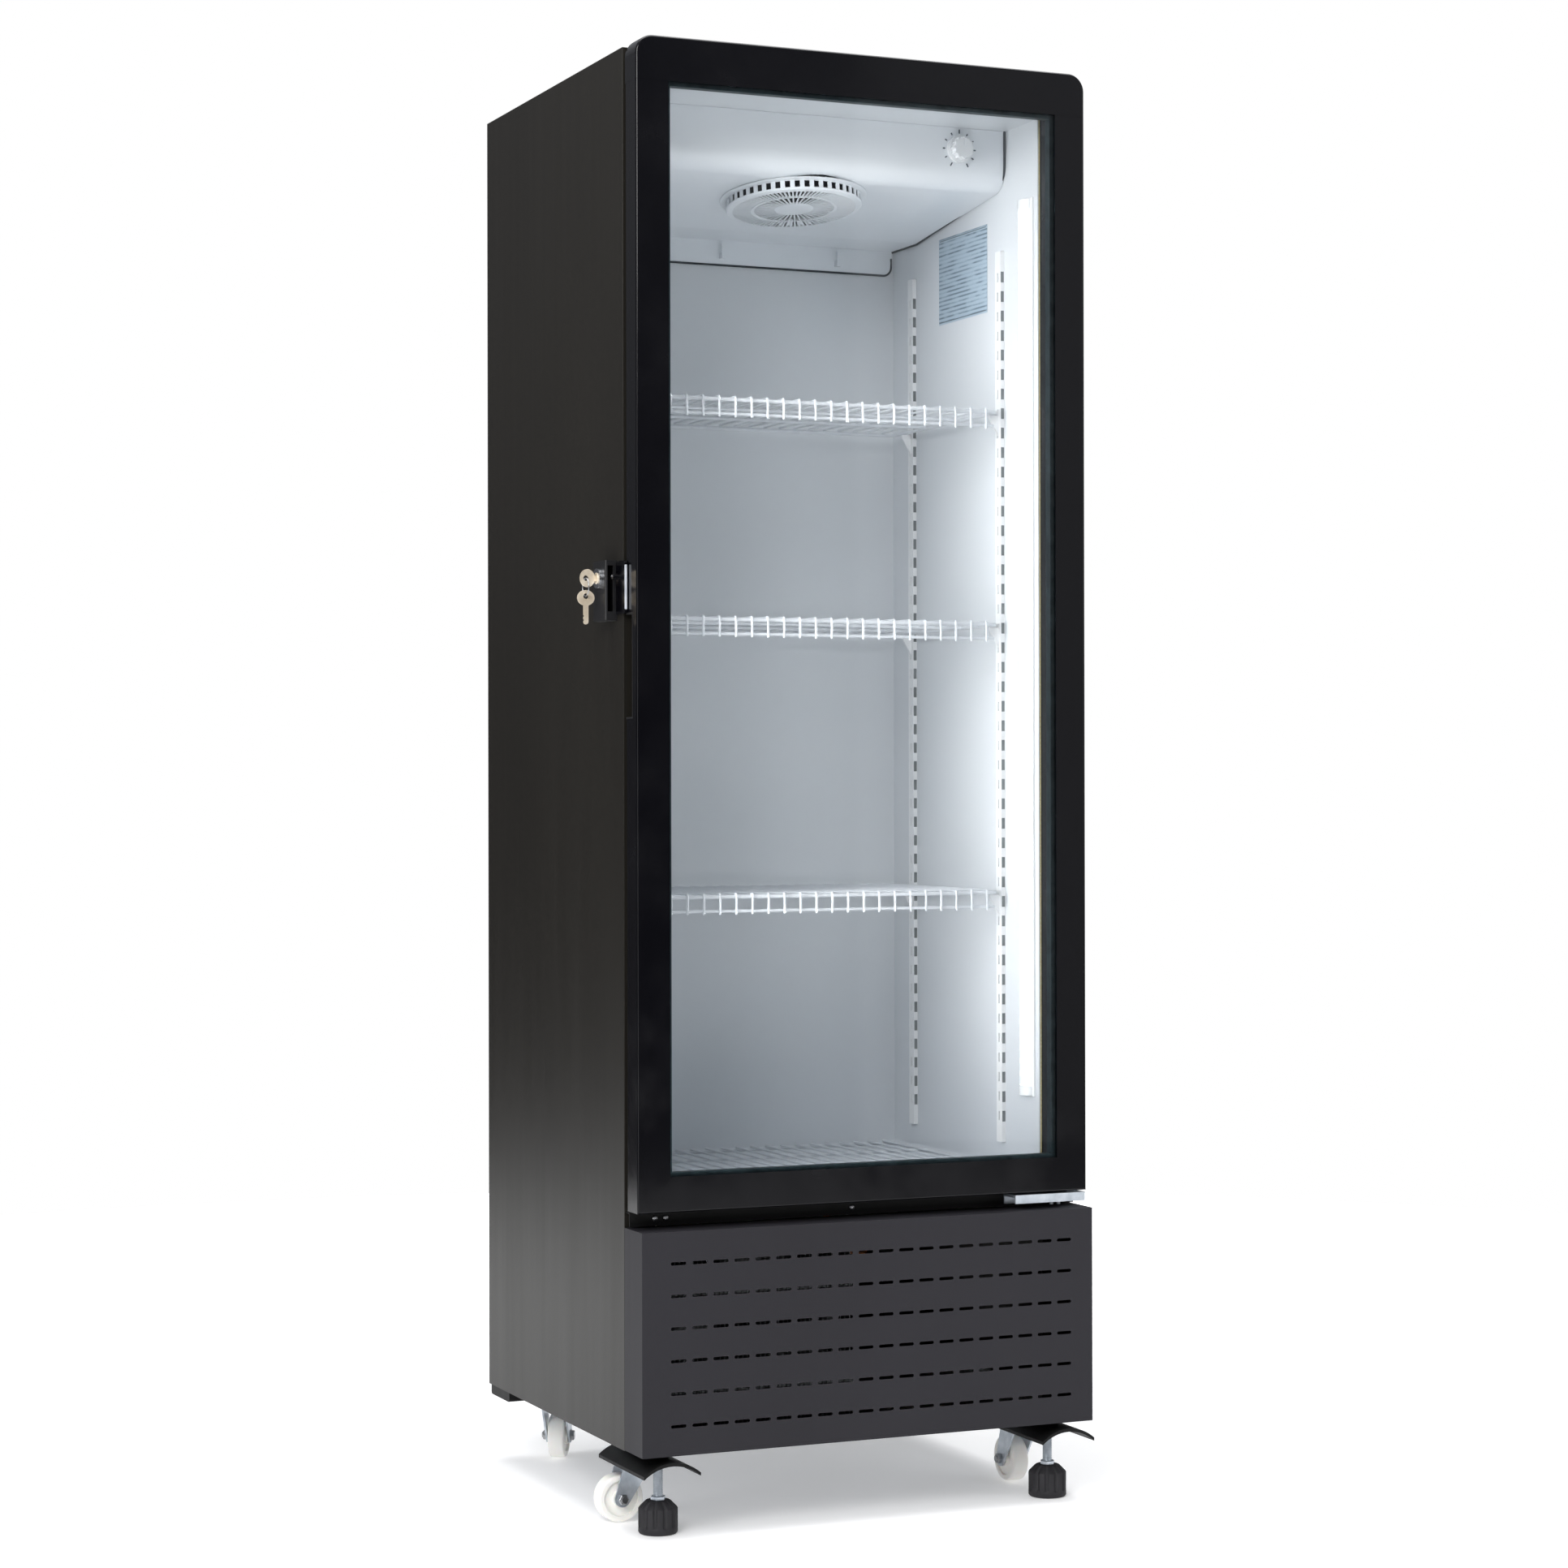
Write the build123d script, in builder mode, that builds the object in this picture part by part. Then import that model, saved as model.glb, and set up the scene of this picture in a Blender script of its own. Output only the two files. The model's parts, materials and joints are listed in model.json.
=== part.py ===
from build123d import *

# Upright glass-door drinks cooler: cabinet, hinged door, wire shelves, lock, feet and casters.
#
# Design frame, in millimetres: X to the right, Y to the rear, Z up. The cabinet is centred on x = 0,
# its front flanges lie at y = 0 and the floor is z = 0. Each finished piece is moved by ORIGIN as it
# is written, so that the origin ends up on the floor, under the middle of the whole outline.
import os

os.makedirs("parts", exist_ok=True)

# ---- driving dimensions: cabinet ----------------------------------------------------------
WIDTH = 610.0
DEPTH = 514.0
CABINET_BOTTOM = 100.0
CABINET_TOP = 1798.0
SHEET = 1.2
DECK_SHEET = 1.5
GAP = 0.2  # between neighbouring sheets of one body
CLEAR = 0.4  # between bodies that move on each other
RUNNING = 0.06  # radial running clearance of pins and shafts
HALF = WIDTH / 2
ORIGIN = (25.5, -227.3, 0.0)

LINER_HALF = 262.0
LINER_BACK = 432.0
LINER_FLOOR = 408.0
LINER_CEILING = 1755.0
LINER_CORNER = 6.0
FLANGE_HALF = 265.0  # half the opening between the two front flanges
REAR_RETURN = 15.0
REAR_INNER = DEPTH - 2 * SHEET - 2 * GAP  # inner side of the rear sheets
REAR_FACE = DEPTH - SHEET - GAP  # outer side of the rear sheets
SKIN_INNER = HALF - SHEET - GAP  # room between the two side skins
BEAD_X = 150.0
BEAD_HALF = 12.0
GRILLE_ROWS = (175.0, 260.0, 335.0)
FOAM_BASE = 372.0

PANEL_FRONT = -59.5
PANEL_TOP = 370.0
PANEL_LOUVRES = (20, 6)
PANEL_PITCH = (27.5, 39.0)
RAIL_FRONT = -12.0
RAIL_HIGH = 389.0
DECK_EDGE = 22.0
SCREW_HEAD = 4.2
SCREW_RISE = 2.0

# ---- driving dimensions: door and hinges --------------------------------------------------
DOOR_HALF = 304.5
DOOR_BOTTOM = 391.0
DOOR_TOP = 1806.0
DOOR_FRONT = -44.6
DOOR_REAR = -8.0
DOOR_CORNER = 22.0
RAIL_SIDE = 42.0
RAIL_TOP = 54.0
RAIL_BOTTOM = 43.0
SEAM = DOOR_TOP - RAIL_TOP  # underside of the top cap
PANE = 4.0
PANE_FRONT = -42.0
PANE_REAR = -22.0
GROOVE = 10.0
SPACER_BAR = 13.0
GASKET_HALF = 288.0
GASKET_WIDE = 22.0
GASKET_LOW = DOOR_BOTTOM + 7
GASKET_HIGH = CABINET_TOP - 4
HANDLE_BOTTOM = 985.0
HANDLE_TOP = 1113.0
HANDLE_DEEP = 16.0
HANDLE_FRONT = -30.0
HANDLE_WALL = 2.0
HINGE_X = 293.0
HINGE_Y = -22.0
HINGE_PIN = 5.0
HINGE_LEFT = 203.0
HINGE_RIGHT = 302.0
HINGE_PLATE = 3.6

# ---- driving dimensions: cabin ------------------------------------------------------------
SHELF_TOPS = {"shelf_upper": 1389.0, "shelf_middle": 1113.0, "shelf_lower": 765.0}
SHELF_HALF = 249.0
SHELF_FRONT = 90.0
SHELF_REAR = 405.0
SHELF_CORNER = 12.0
SHELF_LIP = 18.0
SHELF_PITCH = 22.0
FRAME_WIRE = 2.5
CROSS_WIRE = 2.0
CROSS_YS = (195.0, 300.0)
DECK_WIRE = 1.5
WELD = 0.6
STANDARD_INNER = 256.0
STANDARD_YS = (102.0, 365.0)
STANDARD_HALF = 7.5
STANDARD_BOTTOM = 440.0
STANDARD_TOP = 1600.0
STANDARD_SLOTS = 44
SLOT_PITCH = 25.4
CLIP_REACH = 243.0
CLIP_THICK = 3.0
LED_BOTTOM = 506.0
LED_TOP = 1657.0
LED_FRONT = 12.0
LED_REAR = 46.0
LED_FACE = 258.4

# ---- driving dimensions: cooling unit in the ceiling --------------------------------------
COVER_FRONT = 91.0
COVER_NOSE = 1680.5
COVER_LOW = 1648.0
COVER_BEND = 351.0
COVER_HALF = LINER_HALF - 0.6
COVER_REAR = LINER_BACK - 2.5
COVER_WALL = 2.0
FAN_OPENING = 90.0
FAN_PLANE = Plane(origin=(5, 192, 1668), x_dir=(1, 0, 0), z_dir=(0, -0.124, -0.992))
FAN_SHAFT = 3.0
KNOB = (195.0, COVER_FRONT, 1727.0)
EVAPORATOR = (372.0, 1702.0)
EVAPORATOR_FINS = 36
EVAPORATOR_PITCH = 12.0

# ---- driving dimensions: machine compartment ----------------------------------------------
COMPRESSOR_X = 110.0
COMPRESSOR_Y = 330.0
COMPRESSOR_PLATE = 124.0
COMPRESSOR_HOLES = (180.0, 100.0)
POT_BOTTOM = 128.0
POT_TOP = 278.0
CONDENSER_FAN_X = -130.0
CONDENSER_FAN_Y = 64.0
CONDENSER_FAN_Z = 222.0
CONDENSER_Y = 28.0
CONDENSER_FINS = 43
CONDENSER_PITCH = 6.0
SHROUD_THROAT = 102.0
CORD_X = 262.0
CORD_Z = 150.0
CORD_BORE = 4.5

# ---- driving dimensions: lock -------------------------------------------------------------
LOCK_Y = 40.0
LOCK_Z = 1157.0
LOCK_FACE = -321.0
LOCK_FRONT = 20.0
LOCK_REAR = 63.0
LOCK_LOW = 1105.0
LOCK_HIGH = 1178.0
LOCK_WALL = 2.5
LOCK_BARREL = 9.5
LOCK_CORE = 7.0
CAM_LEFT = -315.5
CAM_THICK = 3.0
CAM_REACH = 32.0
CAM_TIP = 9.0
CAM_HOOK = 4.0
KEEPER_FRONT = -15.0
KEEPER_REAR = 16.0
KEEPER_LOW = 1112.0
KEEPER_HIGH = 1176.0
KEEPER_THICK = 3.0
KEY_HOLE_X = -338.5
KEY_THICK = 2.0
KEY_WIRE = 0.8
KEY_RING = 11.0

# ---- driving dimensions: feet and casters -------------------------------------------------
FOOT_X = 266.0
FOOT_Y = -10.0
FOOT_PAD = 24.0
FOOT_HEIGHT = 40.0
FOOT_STEM = 6.0
CASTER_WHEEL = 29.0
CASTER_TRAIL = 22.0
CASTER_HEAD = 53.5  # top of the swivel head above the axle
CASTER_PIN = 5.0
CASTER_AXLE = 4.0
FORK_OUTER = 16.5
FORK_INNER = 14.0
FRONT_LIFT = 1.5  # the feet hold the front wheels this far off the floor
FRONT_CASTER_Y = 68.0
REAR_CASTER = (228.0, 462.0)
BRACKET_TOP = 94.0
BRACKET_TIP = 80.0
BRACKET_THICK = 4.0
BRACKET_REACH = 36.5
RUNNER_X = 287.0
CASTERS = {
    "front_left": (-FOOT_X, FRONT_CASTER_Y, CASTER_WHEEL + FRONT_LIFT, (-1.0, 0.0)),
    "front_right": (FOOT_X, FRONT_CASTER_Y, CASTER_WHEEL + FRONT_LIFT, (0.0, 1.0)),
    "rear_left": (-REAR_CASTER[0], REAR_CASTER[1], CASTER_WHEEL, (0.5, 0.866)),
    "rear_right": (REAR_CASTER[0], REAR_CASTER[1], CASTER_WHEEL, (0.0, 1.0)),
}


# ---- helpers ------------------------------------------------------------------------------
def save(piece, name):
    """Labels a finished piece, moves it to the part's frame and writes it."""
    placed = piece.moved(Location(ORIGIN))
    placed.label = name
    export_step(placed, f"parts/{name}.step")


def block(low, high, mode=Mode.ADD):
    """A box between two opposite corners."""
    middle = [(a + b) / 2 for a, b in zip(low, high)]
    with Locations(Vector(*middle)):
        Box(*[abs(b - a) for a, b in zip(low, high)], mode=mode)


def rod(start, direction, radius, length, mode=Mode.ADD):
    """A cylinder that starts at a point and runs along a direction."""
    with BuildSketch(Plane(origin=start, z_dir=direction)) as disc:
        Circle(radius)
    extrude(disc.sketch, amount=length, mode=mode)


def ring(start, direction, outer, inner, length, mode=Mode.ADD):
    """A tube that starts at a point and runs along a direction."""
    with BuildSketch(Plane(origin=start, z_dir=direction)) as annulus:
        Circle(outer)
        Circle(inner, mode=Mode.SUBTRACT)
    extrude(annulus.sketch, amount=length, mode=mode)


def tube(points, radii, radius):
    """A bent round tube along straight runs joined by arcs."""
    with BuildLine() as path:
        FilletPolyline(*points, radius=radii)
    with BuildSketch(Plane(origin=path.line @ 0, z_dir=path.line % 0)) as section:
        Circle(radius)
    sweep(section.sketch, path=path.line)


# ---- cabinet shell ------------------------------------------------------------------------
def side_panel(side):
    """Folded steel side: skin, front flange for the door seal and a narrow rear return."""
    with BuildPart() as panel:
        skin = HALF - SHEET
        block((side * skin, 0, CABINET_BOTTOM), (side * HALF, DEPTH, CABINET_TOP))
        block((side * FLANGE_HALF, 0, CABINET_BOTTOM), (side * skin, SHEET, CABINET_TOP))
        fold = side * (HALF - REAR_RETURN)
        block((fold, DEPTH - SHEET, CABINET_BOTTOM), (side * skin, DEPTH, CABINET_TOP))
        corners = panel.edges().filter_by(Axis.Z).group_by(Axis.X)[-1 if side > 0 else 0]
        fillet(corners, 0.9)
    return panel.part


def top_panel():
    """Roof sheet with a turned-down front flange between the side flanges."""
    with BuildPart() as panel:
        block((-SKIN_INNER, SHEET + GAP, CABINET_TOP - SHEET), (SKIN_INNER, REAR_FACE, CABINET_TOP))
        flange = FLANGE_HALF - GAP
        block((-flange, 0, LINER_CEILING + 2), (flange, SHEET, CABINET_TOP))
        block((-flange, SHEET, CABINET_TOP - SHEET), (flange, SHEET + GAP, CABINET_TOP))
    return panel.part


def rear_panel():
    """Upper rear sheet with two pressed stiffening beads."""
    with BuildPart() as panel:
        high = CABINET_TOP - SHEET - GAP
        block((-SKIN_INNER, REAR_FACE - SHEET, DOOR_BOTTOM), (SKIN_INNER, REAR_FACE, high))
        for x in (-BEAD_X, BEAD_X):
            block((x - BEAD_HALF, REAR_FACE, 480), (x + BEAD_HALF, REAR_FACE + 1.5, 1700))
    return panel.part


def rear_grille():
    """Slotted cover over the back of the machine compartment, with a hole for the cord inlet."""
    with BuildPart() as cover:
        block((-SKIN_INNER, REAR_FACE - SHEET, 104), (SKIN_INNER, REAR_FACE, 388))
        with BuildSketch(Plane.XZ.offset(-REAR_FACE)):
            for z in GRILLE_ROWS:
                with Locations((-20, z)):
                    with GridLocations(18, 0, 24, 1):
                        SlotOverall(50, 6, rotation=90)
            with Locations((CORD_X, CORD_Z)):
                Circle(9, mode=Mode.ADD)
        extrude(amount=2 * SHEET, both=True, mode=Mode.SUBTRACT)
    return cover.part


def foam_insulation():
    """Five slabs of foam between the outer sheets and the liner."""
    outer = SKIN_INNER
    inner = LINER_HALF + SHEET + GAP
    front = SHEET + GAP
    rear = REAR_INNER
    base = FOAM_BASE
    roof = CABINET_TOP - SHEET - GAP
    ceiling = LINER_CEILING + SHEET + GAP
    floor = LINER_FLOOR - SHEET - GAP
    with BuildPart() as foam:
        for side in (-1, 1):
            block((side * inner, front, base), (side * outer, rear, roof))
        block((-inner + GAP, front, ceiling), (inner - GAP, rear, roof))
        block((-inner + GAP, front, base), (inner - GAP, rear, floor))
        back = LINER_BACK + SHEET + GAP
        block((-inner + GAP, back, floor + GAP), (inner - GAP, rear, ceiling - GAP))
    return foam.part


def inner_liner():
    """Moulded white liner, open at the front, with rounded inside corners."""
    outer = LINER_HALF + SHEET
    with BuildPart() as liner:
        block(
            (-outer, SHEET + GAP, LINER_FLOOR - SHEET),
            (outer, LINER_BACK + SHEET, LINER_CEILING + SHEET),
        )
        block(
            (-LINER_HALF, 0, LINER_FLOOR),
            (LINER_HALF, LINER_BACK, LINER_CEILING),
            mode=Mode.SUBTRACT,
        )
        low_corners = liner.edges().filter_by(Axis.Y).filter_by(
            lambda e: abs(e.center().Z - LINER_FLOOR) < 0.5 and abs(e.center().X) < LINER_HALF + 0.5
        )
        fillet(low_corners, LINER_CORNER)
    return liner.part


def front_rail():
    """Folded cross rail under the door opening."""
    wide = HALF - 2
    flange = FLANGE_HALF - GAP
    with BuildPart() as rail:
        block((-wide, RAIL_FRONT, PANEL_TOP + 2), (wide, RAIL_FRONT + SHEET, RAIL_HIGH))
        block((-wide, RAIL_FRONT, RAIL_HIGH - SHEET), (wide, -GAP, RAIL_HIGH))
        block((-flange, -GAP - 1, RAIL_HIGH - SHEET), (flange, SHEET, RAIL_HIGH))
        block((-flange, 0, RAIL_HIGH - SHEET), (flange, SHEET, LINER_FLOOR - SHEET))
    return rail.part


def base_deck():
    """Bottom pan that carries the compressor, with upturned edges."""
    front = SHEET + GAP
    low = CABINET_BOTTOM
    with BuildPart() as deck:
        block((-SKIN_INNER, front, low), (SKIN_INNER, REAR_INNER, low + DECK_SHEET))
        for side in (-1, 1):
            block(
                (side * (SKIN_INNER - DECK_SHEET), front, low),
                (side * SKIN_INNER, REAR_INNER, low + DECK_EDGE),
            )
    return deck.part


def grille_panel():
    """Slotted kick panel, folded round the front of the machine compartment."""
    low = CABINET_BOTTOM + 1
    with BuildPart() as panel:
        block((-HALF, PANEL_FRONT, low), (HALF, -GAP, PANEL_TOP))
        block(
            (-HALF + SHEET, PANEL_FRONT + SHEET, low + SHEET),
            (HALF - SHEET, 0, PANEL_TOP - SHEET),
            mode=Mode.SUBTRACT,
        )
        with BuildSketch(Plane.XZ.offset(-PANEL_FRONT)):
            with Locations((3, 234)):
                with GridLocations(*PANEL_PITCH, *PANEL_LOUVRES):
                    SlotOverall(20, 4)
        extrude(amount=-3 * SHEET, mode=Mode.SUBTRACT)
        for side in (-1, 1):
            rod((side * FOOT_X, FOOT_Y, low - 1), (0, 0, 1), 9, 5, mode=Mode.SUBTRACT)
        for corner in (0, -1):
            front = panel.edges().filter_by(Axis.Z).group_by(Axis.Y)[0]
            fillet(front.sort_by(Axis.X)[corner], 1.0)
    return panel.part


# ---- machine compartment ------------------------------------------------------------------
def compressor():
    """Hermetic pot on a foot plate, with a terminal cover and a suction stub."""
    with BuildPart() as pot:
        with BuildSketch(Plane.XY.offset(POT_BOTTOM)):
            with Locations((COMPRESSOR_X, COMPRESSOR_Y)):
                Ellipse(82, 66)
        extrude(amount=POT_TOP - POT_BOTTOM)
        fillet(pot.faces().sort_by(Axis.Z)[-1].edges(), 34)
        fillet(pot.faces().sort_by(Axis.Z)[0].edges(), 12)
        with BuildSketch(Plane.XY.offset(COMPRESSOR_PLATE)):
            with Locations((COMPRESSOR_X, COMPRESSOR_Y)):
                RectangleRounded(210, 130, 12)
                with GridLocations(*COMPRESSOR_HOLES, 2, 2):
                    Circle(7, mode=Mode.SUBTRACT)
        extrude(amount=5)
        x = COMPRESSOR_X + 74
        block((x, COMPRESSOR_Y - 28, 165), (x + 30, COMPRESSOR_Y + 28, 225))
    return pot.part


def compressor_mounts():
    """Four rubber grommets between the compressor foot plate and the deck."""
    with BuildPart() as mounts:
        deck = CABINET_BOTTOM + DECK_SHEET
        with BuildSketch(Plane.XY.offset(deck)):
            with Locations((COMPRESSOR_X, COMPRESSOR_Y)):
                with GridLocations(*COMPRESSOR_HOLES, 2, 2):
                    Circle(13)
        extrude(amount=COMPRESSOR_PLATE - deck)
        with BuildSketch(Plane.XY.offset(COMPRESSOR_PLATE)):
            with Locations((COMPRESSOR_X, COMPRESSOR_Y)):
                with GridLocations(*COMPRESSOR_HOLES, 2, 2):
                    Circle(6.8)
        extrude(amount=8)
    return mounts.part


def condenser_coil():
    """Finned block: upright fins on rows of cross tubes between two end plates."""
    left = CONDENSER_FAN_X - 130
    with BuildPart() as coil:
        with BuildSketch(Plane.YZ.offset(left)):
            with Locations((CONDENSER_Y, CONDENSER_FAN_Z)):
                Rectangle(40, 226)
        extrude(amount=1.6)
        for step in range(1, CONDENSER_FINS + 1):
            with BuildSketch(Plane.YZ.offset(left + CONDENSER_PITCH * step)):
                with Locations((CONDENSER_Y, CONDENSER_FAN_Z)):
                    Rectangle(36, 220)
            extrude(amount=0.6 if step < CONDENSER_FINS else 1.6)
        with BuildSketch(Plane.YZ.offset(left - CONDENSER_PITCH)):
            with Locations((CONDENSER_Y, CONDENSER_FAN_Z)):
                with GridLocations(20, 30, 2, 7):
                    Circle(4)
        extrude(amount=272)
    return coil.part


def condenser_fan_shroud():
    """Plate with a round throat behind the coil, and the fan motor on three struts."""
    plane = Plane.XZ.offset(-52)
    with BuildPart() as shroud:
        with BuildSketch(plane):
            with Locations((CONDENSER_FAN_X, CONDENSER_FAN_Z)):
                Rectangle(262, 228)
                Circle(SHROUD_THROAT, mode=Mode.SUBTRACT)
        extrude(amount=-2)
        with BuildSketch(plane):
            with Locations((CONDENSER_FAN_X, CONDENSER_FAN_Z)):
                Circle(SHROUD_THROAT + 2)
                Circle(SHROUD_THROAT, mode=Mode.SUBTRACT)
        extrude(amount=-24)
        with BuildSketch(Plane.XZ.offset(-82)):
            with Locations((CONDENSER_FAN_X, CONDENSER_FAN_Z)):
                Circle(34)
                with PolarLocations(0, 3):
                    with Locations((60, 0)):
                        Rectangle(86, 9)
        extrude(amount=-4)
        with BuildSketch(Plane.XZ.offset(-74)):
            with Locations((CONDENSER_FAN_X, CONDENSER_FAN_Z)):
                with PolarLocations(SHROUD_THROAT + 1, 3):
                    Circle(4.5)
        extrude(amount=-12)
        rod((CONDENSER_FAN_X, 84, CONDENSER_FAN_Z), (0, 1, 0), 30, 40)
        rod((CONDENSER_FAN_X, 60, CONDENSER_FAN_Z), (0, 1, 0), FAN_SHAFT, 26)
    return shroud.part


def fan_blade(plane, radius, hub, depth, shaft):
    """Axial fan: a bored hub with five pitched blades, centred on the plane."""
    with BuildPart() as fan:
        with BuildSketch(plane.offset(-depth / 2)):
            Circle(hub)
        extrude(amount=depth)
        span = radius - hub + 2
        with Locations(plane):
            with PolarLocations(hub - 2 + span / 2, 5):
                Box(span, radius * 0.5, 1.8, rotation=(28, 0, 0))
        with BuildSketch(plane.offset(-depth)):
            Circle(radius)
        extrude(amount=2 * depth, mode=Mode.INTERSECT)
        with BuildSketch(plane.offset(-depth)):
            Circle(shaft + RUNNING)
        extrude(amount=2 * depth - 6, mode=Mode.SUBTRACT)
    return fan.part


def refrigerant_lines():
    """Discharge line to the condenser and suction line up through the insulation."""
    with BuildPart() as lines:
        tube(
            [
                (COMPRESSOR_X - 40, COMPRESSOR_Y, POT_TOP + GAP),
                (COMPRESSOR_X - 40, COMPRESSOR_Y, 318),
                (COMPRESSOR_X - 40, 150, 318),
                (30, 28, 318),
                (9, 28, 318),
            ],
            [18, 30, 9],
            3,
        )
        tube(
            [
                (COMPRESSOR_X + 10, COMPRESSOR_Y + 15, POT_TOP + GAP),
                (COMPRESSOR_X + 10, COMPRESSOR_Y + 15, 330),
                (COMPRESSOR_X + 10, 480, 330),
                (COMPRESSOR_X + 10, 480, 371),
            ],
            [18, 18],
            4.5,
        )
    return lines.part


def drain_pan():
    """Tray that catches and evaporates the defrost water."""
    with BuildPart() as pan:
        block((-270, 250, 102), (-50, 470, 142))
        fillet(pan.edges().filter_by(Axis.Z), 14)
        offset(amount=-2, openings=pan.faces().sort_by(Axis.Z)[-1])
    return pan.part


def control_box():
    """Terminal box with a flanged cord inlet that passes through the rear grille."""
    with BuildPart() as box:
        block((225, 400, 112), (298, 480, 196))
        fillet(box.edges().filter_by(Axis.Z), 4)
        rod((CORD_X, 478, CORD_Z), (0, 1, 0), 8.7, REAR_FACE + 6 - 478)
        rod((CORD_X, REAR_FACE + GAP, CORD_Z), (0, 1, 0), 13, 5)
        rod((CORD_X, 470, CORD_Z), (0, 1, 0), CORD_BORE, 60, mode=Mode.SUBTRACT)
    return box.part


# ---- cooling unit in the ceiling ----------------------------------------------------------
def cover_outline(plane, inset):
    """Side profile of the cooling unit's cover, set in by a wall thickness."""
    top = LINER_CEILING - GAP
    with BuildSketch(plane) as outline:
        with BuildLine():
            FilletPolyline(
                (COVER_FRONT + inset, top),
                (COVER_FRONT + inset, COVER_NOSE + inset),
                (COVER_BEND, COVER_LOW + inset),
                (COVER_REAR, COVER_LOW + inset),
                (COVER_REAR, top),
                radius=[30 - inset, 60, 0.5],
            )
            Line((COVER_REAR, top), (COVER_FRONT + inset, top))
        make_face()
    return outline.sketch


def evaporator_cover():
    """Moulded cover under the ceiling: rounded nose, sloping underside and a rear skirt."""
    wall = COVER_WALL
    with BuildPart() as cover:
        extrude(cover_outline(Plane.YZ.offset(-COVER_HALF), 0), amount=2 * COVER_HALF)
        extrude(
            cover_outline(Plane.YZ.offset(-COVER_HALF + wall), wall),
            amount=2 * (COVER_HALF - wall),
            mode=Mode.SUBTRACT,
        )
        with BuildSketch(Plane.XZ.offset(-COVER_REAR)):
            with Locations((0, 1632)):
                RectangleRounded(2 * COVER_HALF - 6, 36, 12)
            with Locations((0, 1640)):
                Rectangle(2 * COVER_HALF - 6, 20)
        extrude(amount=-wall)
        for x in (2, 174):
            block((x - 3, LINER_BACK - 12, 1622), (x + 3, COVER_REAR, 1630))
            block((x - 3, LINER_BACK - 12, 1622), (x + 3, LINER_BACK - 10, 1642))
        with BuildSketch(FAN_PLANE.offset(-20)):
            Circle(FAN_OPENING)
        extrude(amount=40, mode=Mode.SUBTRACT)
        rod((KNOB[0], KNOB[1] - 1, KNOB[2]), (0, 1, 0), 4.2, 8, mode=Mode.SUBTRACT)
    return cover.part


def fan_grille():
    """Round guard in the cover's underside: slotted rim, spokes and rings."""
    with BuildPart() as guard:
        with BuildSketch(FAN_PLANE.offset(0.3)):
            Circle(FAN_OPENING + 10)
            Circle(FAN_OPENING - 2, mode=Mode.SUBTRACT)
        extrude(amount=2.4)
        with BuildSketch(FAN_PLANE.offset(0.3)):
            Circle(FAN_OPENING + 5)
            Circle(FAN_OPENING + 2.5, mode=Mode.SUBTRACT)
        extrude(amount=11)
        with BuildSketch(FAN_PLANE.offset(9)):
            Circle(FAN_OPENING + 5)
            with PolarLocations(80, 44):
                SlotOverall(20, 4.2, mode=Mode.SUBTRACT)
            for inner, outer in ((24, 34), (38, 48), (52, 62)):
                with BuildSketch(mode=Mode.PRIVATE) as band:
                    Circle(outer)
                    Circle(inner, mode=Mode.SUBTRACT)
                    with PolarLocations(43, 8, start_angle=22.5):
                        Rectangle(46, 5, mode=Mode.SUBTRACT)
                add(band.sketch, mode=Mode.SUBTRACT)
        extrude(amount=2.6)
    return guard.part


def evaporator_fan_motor():
    """Small motor above the fan, on three legs that stand on the cover."""
    with BuildPart() as motor:
        with BuildSketch(FAN_PLANE.offset(-62)):
            Circle(24)
        extrude(amount=34)
        with BuildSketch(FAN_PLANE.offset(-40)):
            with PolarLocations(0, 3):
                with Locations((52, 0)):
                    Rectangle(88, 8)
        extrude(amount=3)
        with BuildSketch(FAN_PLANE.offset(-40)):
            with PolarLocations(94, 3):
                Circle(4)
        extrude(amount=37)
        with BuildSketch(FAN_PLANE.offset(-30)):
            Circle(FAN_SHAFT)
        extrude(amount=20)
    return motor.part


def evaporator_coil():
    """Finned cooling coil behind the fan."""
    with BuildPart() as coil:
        half = EVAPORATOR_PITCH * (EVAPORATOR_FINS - 1) / 2
        for step in range(EVAPORATOR_FINS):
            with BuildSketch(Plane.YZ.offset(EVAPORATOR_PITCH * step - half)):
                with Locations(EVAPORATOR):
                    Rectangle(100, 84)
            extrude(amount=0.8)
        with BuildSketch(Plane.YZ.offset(-half - EVAPORATOR_PITCH)):
            with Locations(EVAPORATOR):
                with GridLocations(26, 26, 4, 3):
                    Circle(4)
        extrude(amount=2 * (half + EVAPORATOR_PITCH))
    return coil.part


def thermostat_knob():
    """Dial with finger flats, a pointer groove and a short spindle."""
    x, y, z = KNOB
    plane = Plane.XZ.offset(-(y - CLEAR))
    with BuildPart() as knob:
        with BuildSketch(Plane(plane.origin, x_dir=(1, 0, 0), z_dir=(0, -1, 0))):
            with Locations((x, z)):
                Circle(18)
        extrude(amount=5)
        with BuildSketch(Plane((0, y - 5, 0), x_dir=(1, 0, 0), z_dir=(0, -1, 0))):
            with Locations((x, z)):
                Circle(13)
                with PolarLocations(13, 12):
                    Circle(1.8)
        extrude(amount=10)
        fillet(knob.faces().sort_by(Axis.Y)[0].edges(), 0.8)
        block((x - 1, y - 16, z + 3), (x + 1, y - 14, z + 12), mode=Mode.SUBTRACT)
        rod((x, y - 1, z), (0, 1, 0), 4.14, 9)
    return knob.part


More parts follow.
